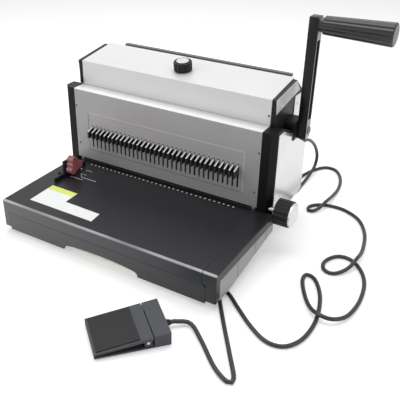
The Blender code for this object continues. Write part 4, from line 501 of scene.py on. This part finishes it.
# Each edge colour below is the lighter tone on that finish's edges, partly wear and partly painted highlight.
LOOK = {
    "panel": panel_finish(),
    "top": surface(
        "top_silver_paint", tone(0.86, 0.86, 0.865), 0.40, 0.2, cloud=0.015, grain=2600, relief=0.04,
    ),
    "sheet": brushed("side_sheet_brushed", tone(0.86, 0.86, 0.87), Z, 0.22),
    "cap": surface("turned_steel", tone(0.86, 0.86, 0.86), 0.28, 0.8, grain=2600, relief=0.05),
    "black": surface("moulded_black", tone(0.10, 0.10, 0.105), 0.42, grain=2200, relief=0.12, gloss=0.22),
    "cover": surface(
        "end_cover_black", tone(0.07, 0.07, 0.075), 0.40, grain=1800, relief=0.15,
        edge=tone(0.36, 0.36, 0.37), gloss=0.15,
    ),
    # The two colours given to the base and the drawer are the painted reflection on the front, from its left
    # end to its right end.
    "base": base_finish("base_black", tone(0.42, 0.42, 0.43), tone(0.20, 0.21, 0.22)),
    "drawer": base_finish("drawer_black_painted_reflection", tone(0.40, 0.40, 0.41), tone(0.22, 0.225, 0.235)),
    "side_grey": surface("side_grey", tone(0.63, 0.64, 0.65), 0.5, grain=1300, relief=0.2),
    "lever_black": surface(
        "lever_black", tone(0.085, 0.085, 0.09), 0.30, grain=1900, relief=0.08, gloss=0.25,
    ),
    "grip": surface(
        "grip_black", tone(0.09, 0.09, 0.10), 0.24, grain=1900, relief=0.05,
        edge=tone(0.3, 0.3, 0.31), gloss=0.55,
    ),
    "lever_grey": surface("lever_side_grey", tone(0.62, 0.62, 0.62), 0.36, 0.2, grain=2300, relief=0.06),
    "steel": brushed("ground_steel", tone(0.78, 0.78, 0.79), X, 0.28, 0.95),
    "tool_steel": surface("tool_steel", tone(0.36, 0.36, 0.38), 0.34, 0.7, grain=2300, relief=0.08),
    "motor": surface("motor_grey", tone(0.32, 0.32, 0.34), 0.45, 0.5, grain=900, relief=0.2),
    "zinc": surface("zinc_plate", tone(0.78, 0.78, 0.74), 0.42, 0.85, cloud=0.16, cloud_scale=60, grain=900),
    "hooks": hook_finish(),
    "bronze": surface("nut_bronze", tone(0.75, 0.58, 0.32), 0.35, 0.9, grain=1600),
    "rubber": surface("black_rubber", tone(0.12, 0.12, 0.12), 0.75, grain=1400, relief=0.3, gloss=0.3),
    "clamp": surface(
        "clamp_red", tone(0.58, 0.33, 0.35), 0.26, cloud=0.08, grain=1500, relief=0.05,
        edge=tone(0.8, 0.6, 0.62),
    ),
    "pedal": surface(
        "pedal_black", tone(0.27, 0.28, 0.30), 0.42, grain=1600, relief=0.16,
        edge=tone(0.42, 0.42, 0.43), gloss=0.3,
    ),
    "pad": surface(
        "pad_rubber", tone(0.10, 0.10, 0.105), 0.5, grain=1700, relief=0.2,
        edge=tone(0.26, 0.26, 0.28), gloss=0.3,
    ),
    "cord": surface(
        "cord_jacket", tone(0.16, 0.16, 0.165), 0.36, cloud=0.08, grain=3200, relief=0.03, edge_sheen_and_wear=0, gloss=0.45,
    ),
    "white_print": surface("white_print", tone(0.93, 0.93, 0.93), 0.5, grain=2600, relief=0.02, edge_sheen_and_wear=0),
    "dark_print": surface("dark_print", tone(0.20, 0.20, 0.21), 0.5, grain=2600, relief=0.02, edge_sheen_and_wear=0),
    "label": surface("label_paper", tone(0.93, 0.94, 0.93), 0.55, grain=2300, relief=0.05, edge_sheen_and_wear=0),
    "band": surface("label_band", tone(0.86, 0.90, 0.45), 0.5, grain=2300, relief=0.05, edge_sheen_and_wear=0),
    "screw": surface("screw_grey", tone(0.42, 0.42, 0.43), 0.3, 0.5, grain=2300, relief=0.05),
    "bright": surface("bright_screw", tone(0.85, 0.85, 0.86), 0.25, 0.9, grain=2300, relief=0.04),
    "bar": surface("bar_grey", tone(0.36, 0.36, 0.365), 0.40, 0.3, grain=2300, relief=0.06),
}
NODE_LOOKS = {
    "panel": ["front_panel"],
    "top": ["upper_panel"],
    "sheet": ["side_sheet_left", "side_sheet_right"],
    "cap": ["size_knob_cap", "margin_knob_cap"],
    "black": [
        "rear_cover", "power_inlet", "switch_frame", "switch_rocker", "lever_boss", "size_knob",
        "margin_knob", "side_guide", "guide_bracket", "upper_end_left", "upper_end_right",
    ],
    "cover": ["end_cover_left", "end_cover_right"],
    "base": ["base_cover"],
    "drawer": ["tray_front"],
    "side_grey": ["base_side_plate_left", "base_side_plate_right"],
    "lever_black": ["lever_arm"],
    "grip": ["grip"],
    "bar": ["press_bar"],
    "steel": [
        "lever_shaft", "drive_shaft", "drive_gear", "motor_pinion", "margin_shaft", "margin_stop",
        "pedal_pin",
    ],
    "tool_steel": ["die_plate", "stripper_plate", "punch_beam", "closing_anvil"],
    "motor": ["motor"],
    "zinc": [
        "base_pan", "chip_tray", "side_frame_left", "side_frame_right", "rear_rail", "motor_bracket",
        "carriage_arm_left", "carriage_arm_right", "nut_guide",
    ],
    "hooks": ["hook_comb"],
    "bronze": ["size_nut"],
    "rubber": [
        "foot_front_left", "foot_front_right", "foot_rear_left", "foot_rear_right", "pedal_gland",
        "strain_relief",
    ],
    "clamp": ["clamp_knob"],
    "pedal": ["pedal_base", "pedal_tread"],
    "pad": ["pedal_pad"],
    "cord": ["pedal_cord"],
}


def dress_nodes():
    """Gives each CAD node its finish."""
    for look, nodes in NODE_LOOKS.items():
        for node in nodes:
            made = frame["nodes"][node]
            if made.data.materials:
                for slot in made.material_slots:
                    slot.material = LOOK[look]
            else:
                made.data.materials.append(LOOK[look])


# Shapes, drawn in the machine's own frame

def moved(bm, matrix):
    bmesh.ops.transform(bm, matrix=matrix, verts=bm.verts)
    return bm


def softened(bm, edge, segments=2):
    """Rounds the edges between faces that meet at more than an angle."""
    if edge:
        sharp = [e for e in bm.edges if len(e.link_faces) == 2 and e.calc_face_angle() > SHARP_ANGLE]
        bmesh.ops.bevel(
            bm, geom=sharp, offset=edge, segments=segments, profile=0.5, affect="EDGES", material=-1,
            clamp_overlap=True,
        )
    return bm


SAME_PLACE = 1e-6


def turned(profile, steps=48):
    """A turned shape on +Z; the profile runs as (radius, height) from its foot to its top."""
    bm = bmesh.new()
    points = [bm.verts.new((radius, 0, height)) for radius, height in profile]
    lines = [bm.edges.new(pair) for pair in zip(points, points[1:])]
    bmesh.ops.spin(
        bm, geom=points + lines, cent=(0, 0, 0), axis=(0, 0, 1), angle=math.tau, steps=steps, use_merge=True
    )
    bmesh.ops.remove_doubles(bm, verts=bm.verts, dist=SAME_PLACE)
    bmesh.ops.recalc_face_normals(bm, faces=bm.faces)
    return bm


def prism(outline, depth, edge=0.0):
    """An outline in X and Y, raised from the first depth to the second along Z."""
    bm = bmesh.new()
    face = bm.faces.new([bm.verts.new((x, y, depth[0])) for x, y in outline])
    raised = bmesh.ops.extrude_face_region(bm, geom=[face])["geom"]
    top = [v for v in raised if isinstance(v, bmesh.types.BMVert)]
    bmesh.ops.translate(bm, vec=(0, 0, depth[1] - depth[0]), verts=top)
    bmesh.ops.recalc_face_normals(bm, faces=bm.faces)
    return softened(bm, edge)


def gather(*shapes):
    """Several shapes as one."""
    bm = bmesh.new()
    for shape in shapes:
        mesh = bpy.data.meshes.new("shape")
        shape.to_mesh(mesh)
        shape.free()
        bm.from_mesh(mesh)
        bpy.data.meshes.remove(mesh)
    return bm


def flipped(bm):
    """The same shape on the machine's other side."""
    bmesh.ops.scale(bm, vec=(-1, 1, 1), verts=bm.verts)
    bmesh.ops.reverse_faces(bm, faces=bm.faces)
    return bm


def arc(centre, radius, start, end, steps):
    turns = [math.radians(start + (end - start) * step / steps) for step in range(steps + 1)]
    return [(centre[0] + radius * math.cos(turn), centre[1] + radius * math.sin(turn)) for turn in turns]


def bar(start, end, width):
    """The outline of a straight line of a width."""
    start, end = Vector(start), Vector(end)
    side = (end - start).orthogonal().normalized() * width / 2
    return [tuple(point) for point in (start - side, end - side, end + side, start + side)]


# A screw head's slot: its floor's share of the height, the halves' foot as a share of that floor,
# and half the angle that the slot takes of the rim
SLOT_FLOOR = 0.45
HALF_FOOT = 0.8
HALF_SLOT = math.degrees(math.asin(0.14))
HEAD_ROUNDING = 0.3
RIM_STEPS = 14
HEAD_STEPS = 32


def screw_head(radius, height, turn):
    """A slotted round head on +Z: its floor and two raised halves with the slot between them."""
    floor_height = height * SLOT_FLOOR
    shapes = [turned([(0, 0), (radius, 0), (radius, floor_height), (0, floor_height)], HEAD_STEPS)]
    for start in (HALF_SLOT, 180 + HALF_SLOT):
        rim = arc((0, 0), radius, start, start + 180 - 2 * HALF_SLOT, RIM_STEPS)
        half = prism(rim, (floor_height * HALF_FOOT, height))
        top = [e for e in half.edges if all(v.co.z > height - 1e-7 for v in e.verts)]
        bmesh.ops.bevel(
            half, geom=top, offset=height * HEAD_ROUNDING, segments=3, profile=0.5, affect="EDGES",
            material=-1,
        )
        shapes.append(half)
    return moved(gather(*shapes), Matrix.Rotation(turn, 4, "Z"))


def piece(name, bm, look, like, replaces=()):
    """Sets a shape drawn in the machine's own frame on the body of the CAD node that it is like."""
    bmesh.ops.translate(bm, vec=ORIGIN, verts=bm.verts)
    mesh = bpy.data.meshes.new(name)
    bm.to_mesh(mesh)
    bm.free()
    mesh.shade_smooth()
    mesh.set_sharp_from_angle(angle=CREASE_ANGLE)
    for key in (look if isinstance(look, (list, tuple)) else [look]):
        mesh.materials.append(LOOK[key])
    made = bpy.data.objects.new(name, mesh)
    bpy.context.scene.collection.objects.link(made)
    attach(made, BODY_OF[like])
    if replaces:
        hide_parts(*replaces)
    return made


# The cord

ROUTE_STEPS = 12


def smooth_route(places):
    """Points read at even steps along a smooth curve through the given places."""
    fine = []
    ends = [2 * places[0] - places[1], *places, 2 * places[-1] - places[-2]]
    for before, start, end, after in zip(ends, ends[1:], ends[2:], ends[3:]):
        for step in range(ROUTE_STEPS):
            t = step / ROUTE_STEPS
            fine.append(
                0.5
                * (
                    2 * start
                    + (end - before) * t
                    + (2 * before - 5 * start + 4 * end - after) * t**2
                    + (3 * start - before - 3 * end + after) * t**3
                )
            )
    fine.append(places[-1])
    read = [fine[0]]
    walked = 0
    for last, here in zip(fine, fine[1:]):
        walked += (here - last).length
        if walked >= CORD_STEP / 4:
            read.append(here)
            walked = 0
    if walked > CORD_STEP / 8:
        read.append(fine[-1])
    else:
        read[-1] = fine[-1]
    return read


def cord():
    """The pedal's cord, from the strain relief behind the machine to the pedal's gland."""
    relief_end = span("strain_relief", Y)[1]
    exit_x = sum(span("strain_relief", X)) / 2
    first = Vector((exit_x, relief_end + SEAT, CORD_EXIT_Z))
    second = first + Vector((0, CORD_LEAD, 0))
    before = PEDAL_FRAME @ Vector((PEDAL_LENGTH / 2 + GLAND_LENGTH + CORD_LEAD, 0, GLAND_HEIGHT))
    last = PEDAL_FRAME @ Vector((PEDAL_LENGTH / 2 + 2 * SEAT + GLAND_LENGTH, 0, GLAND_HEIGHT))
    places = [second, *[Vector(place) for place in CORD_ROUTE], before]
    points = [place + ORIGIN for place in (first, *smooth_route(places), last)]
    curve = bpy.data.curves.new("pedal_cord_jacket", "CURVE")
    curve.dimensions = "3D"
    curve.bevel_depth = CORD_RADIUS
    curve.bevel_resolution = 5
    curve.use_fill_caps = True
    spline = curve.splines.new("POLY")
    spline.points.add(len(points) - 1)
    for point, place in zip(spline.points, points):
        point.co = (*place, 1)
    spline.use_smooth = True
    curve.materials.append(LOOK["cord"])
    made = bpy.data.objects.new("pedal_cord_jacket", curve)
    bpy.context.scene.collection.objects.link(made)
    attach(made, "chassis")
    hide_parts("pedal_cord")


# Lines, prints and screws on the panel and the table

SLOTS = 34
PITCH = 0.0254 / 3
PANEL_SCREWS = ((-0.1723, 0.1599), (-0.1690, 0.0914), (0.1720, 0.1559), (0.1695, 0.0892))
UPPER_SCREW = (0.1717, 0.2058)
SCREW_RADIUS = 0.0017
SCREW_HEIGHT = 0.0009
FIRST_TURN = 0.6
UPPER_TURN = 0.4
OUTLINE_X = (-0.1480, 0.1488)
OUTLINE_Z = (0.0830, 0.1515)
LINE = 0.0007


def panel_screws():
    """Four slotted screws on the panel and one on the upper face."""
    upper_y = span("upper_panel", Y)[0]
    heads = []
    for number, (x, z) in enumerate(PANEL_SCREWS):
        head = screw_head(SCREW_RADIUS, SCREW_HEIGHT, FIRST_TURN + number)
        heads.append(moved(head, Matrix.Translation((x, 0, z)) @ TO_FRONT))
    piece("panel_screws", gather(*heads), "screw", "front_panel")
    head = moved(
        screw_head(SCREW_RADIUS, SCREW_HEIGHT, UPPER_TURN),
        Matrix.Translation((UPPER_SCREW[0], upper_y, UPPER_SCREW[1])) @ TO_FRONT,
    )
    piece("upper_screw", head, "screw", "upper_panel")


def panel_outline():
    """A fine frame of lines round the slots: light above and at the right, dark below and at the left."""
    left, right = OUTLINE_X
    low, high = OUTLINE_Z
    light = [bar((left, high), (right, high), LINE), bar((right, high), (right, low), LINE)]
    dark = [bar((left, low), (right, low), LINE), bar((left, low), (left, high), LINE)]
    line_sets = (("panel_light_lines", light, "white_print"), ("panel_dark_lines", dark, "dark_print"))
    for name, lines, look in line_sets:
        shapes = [moved(prism(line, (0, PRINT)), TO_FRONT) for line in lines]
        piece(name, gather(*shapes), look, "front_panel")


DOT_Y = -0.0089
DOT_RADIUS = 0.0016
DOT_SPREAD, DOT_STEPS = 336, 28
GAUGE_WIDTH = 0.0009
GAUGE_DOTS = ((-0.1443, -0.0320), (-0.1448, -0.0466))
GAUGE_LINES = (
    ((-0.1348, -0.0317), (-0.1213, -0.0317)),
    ((-0.1433, -0.0635), (-0.1157, -0.0635)),
    ((-0.1244, -0.0566), (-0.0934, -0.0566)),
    ((-0.1342, -0.0466), (-0.1222, -0.0466)),
    ((-0.1335, -0.0466), (-0.1244, -0.0566)),
)
LABEL_CORNERS = (
    (-0.1464, -0.1603), (-0.0223, -0.1612), (-0.0246, -0.1376), (-0.0933, -0.1357), (-0.0938, -0.1054),
    (-0.1470, -0.1043),
)
BAND_DEPTH = 0.0125
BAND_SKEW = 0.0011


def table_prints():
    """A dot on the table before each slot, and the side guide's scale."""
    dots = [((number - (SLOTS - 1) / 2) * PITCH, DOT_Y) for number in range(SLOTS)]
    rims = [arc(place, DOT_RADIUS, 0, DOT_SPREAD, DOT_STEPS) for place in (*dots, *GAUGE_DOTS)]
    lines = [bar(start, end, GAUGE_WIDTH) for start, end in GAUGE_LINES]
    shapes = [prism(outline, (0, PRINT)) for outline in (*rims, *lines)]
    printed = moved(gather(*shapes), Matrix.Translation((0, 0, TABLE_TOP)))
    piece("table_prints", printed, "white_print", "base_cover")


def blank_label():
    """A bare label on the table, with a yellow-green band along its back edge."""
    label = prism(LABEL_CORNERS, (0, PROUD))
    piece("blank_label", moved(label, Matrix.Translation((0, 0, TABLE_TOP))), "label", "base_cover")
    left, rear = LABEL_CORNERS[-1]
    right = LABEL_CORNERS[-2][0]
    strip = [
        (left, rear - BAND_DEPTH), (right, rear - BAND_DEPTH - BAND_SKEW),
        (right, rear - BAND_SKEW), (left, rear),
    ]
    band = prism(strip, (PROUD, PROUD + PRINT))
    piece("label_band", moved(band, Matrix.Translation((0, 0, TABLE_TOP))), "band", "base_cover")


# The upper housing's end strips

UPPER_END_OUT = span("upper_end_right", X)[1]
STRIP_THICK = 0.0010
STRIP_EDGE = 0.0004
STRIP = ((0.0278, 0.2092), (0.0252, 0.2317), (0.0992, 0.2405), (0.1156, 0.2219))
REAR_PLATE = ((0.0990, 0.1790), (0.0990, 0.2160), (0.1300, 0.2140), (0.1375, 0.1610))
END_SCREWS = ((0.0460, 0.2176), (0.1120, 0.2000))
END_SCREW_RADIUS = 0.0026
END_SCREW_HEIGHT = 0.0010
END_SCREW_TURN = 0.5


def sided(bm, side):
    """A shape drawn for the right side, mirrored if it is for the left."""
    return bm if side == "right" else flipped(bm)


def upper_ends():
    """A strip, a plate and two screws on each end plate of the upper housing."""
    outer = UPPER_END_OUT + STRIP_THICK
    for side in ("left", "right"):
        like = f"upper_end_{side}"
        # These strips take the panel finish, whose painted ledge highlight covers whatever stands above the
        # panel's top.
        strip = moved(prism(STRIP, (UPPER_END_OUT + PROUD, outer), STRIP_EDGE), TO_RIGHT)
        piece(f"upper_strip_{side}", sided(strip, side), "panel", like)
        plate = moved(prism(REAR_PLATE, (UPPER_END_OUT + PROUD, outer), STRIP_EDGE), TO_RIGHT)
        piece(f"upper_rear_plate_{side}", sided(plate, side), "sheet", like)
        heads = [
            moved(
                screw_head(END_SCREW_RADIUS, END_SCREW_HEIGHT, END_SCREW_TURN),
                Matrix.Translation((outer, y, z)) @ TO_RIGHT,
            )
            for y, z in END_SCREWS
        ]
        piece(f"upper_end_screws_{side}", sided(gather(*heads), side), "bright", like)


# Lever

ARM_X = span("lever_arm", X)
ARM_Y = span("lever_arm", Y)
ARM_Z = span("lever_arm", Z)
RECESS_Z = (0.1910, 0.3110)
RECESS_WIDTH = 0.0080
RECESS_DEPTH = 0.0030
ARM_EDGE = 0.0011
LEVER_AXIS = (0.0810, 0.1730)
BOLT_SUNK = 0.0001
BOLT_PROFILE = (
    (0, 0), (0.0062, 0), (0.0062, 0.0012), (0.0054, 0.0020), (0.0030, 0.0020), (0.0026, 0.0010), (0, 0.0010),
)


def lever_arm():
    """The arm: black, its outer side light grey round a long black recess."""
    bm = bmesh.new()
    bmesh.ops.create_cube(bm, size=1)
    size = Matrix.Diagonal((ARM_X[1] - ARM_X[0], ARM_Y[1] - ARM_Y[0], ARM_Z[1] - ARM_Z[0], 1))
    middle = Vector((sum(ARM_X), sum(ARM_Y), sum(ARM_Z))) / 2
    moved(bm, Matrix.Translation(middle) @ size)
    side = max(bm.faces, key=lambda face: face.calc_center_median().x)
    bmesh.ops.inset_individual(bm, faces=[side], thickness=(ARM_Y[1] - ARM_Y[0] - RECESS_WIDTH) / 2)
    for vert in side.verts:
        vert.co.z = RECESS_Z[0] if vert.co.z < middle.z else RECESS_Z[1]
    for face in bm.faces:
        face.material_index = 1 if face.normal.x > 0.9 and face is not side else 0
    floor_face = bmesh.ops.extrude_discrete_faces(bm, faces=[side])["faces"][0]
    bmesh.ops.translate(bm, vec=(-RECESS_DEPTH, 0, 0), verts=floor_face.verts)
    softened(bm, ARM_EDGE, 3)
    piece("lever_arm_shell", bm, ["lever_black", "lever_grey"], "lever_arm", ["lever_arm"])


def lever_bolt():
    """A bolt's round head on the arm's outer side, with a hollow in its middle."""
    place = Matrix.Translation((ARM_X[1] - BOLT_SUNK, *LEVER_AXIS))
    piece("lever_bolt", moved(turned(BOLT_PROFILE), place @ TO_RIGHT), "screw", "lever_arm")


# Builds everything

def build():
    camera()
    floor()
    sky()
    lights()
    cord()
    dress_nodes()
    panel_screws()
    panel_outline()
    table_prints()
    blank_label()
    upper_ends()
    lever_arm()
    lever_bolt()


bpy.context.scene.view_settings.view_transform = "Standard"
build()
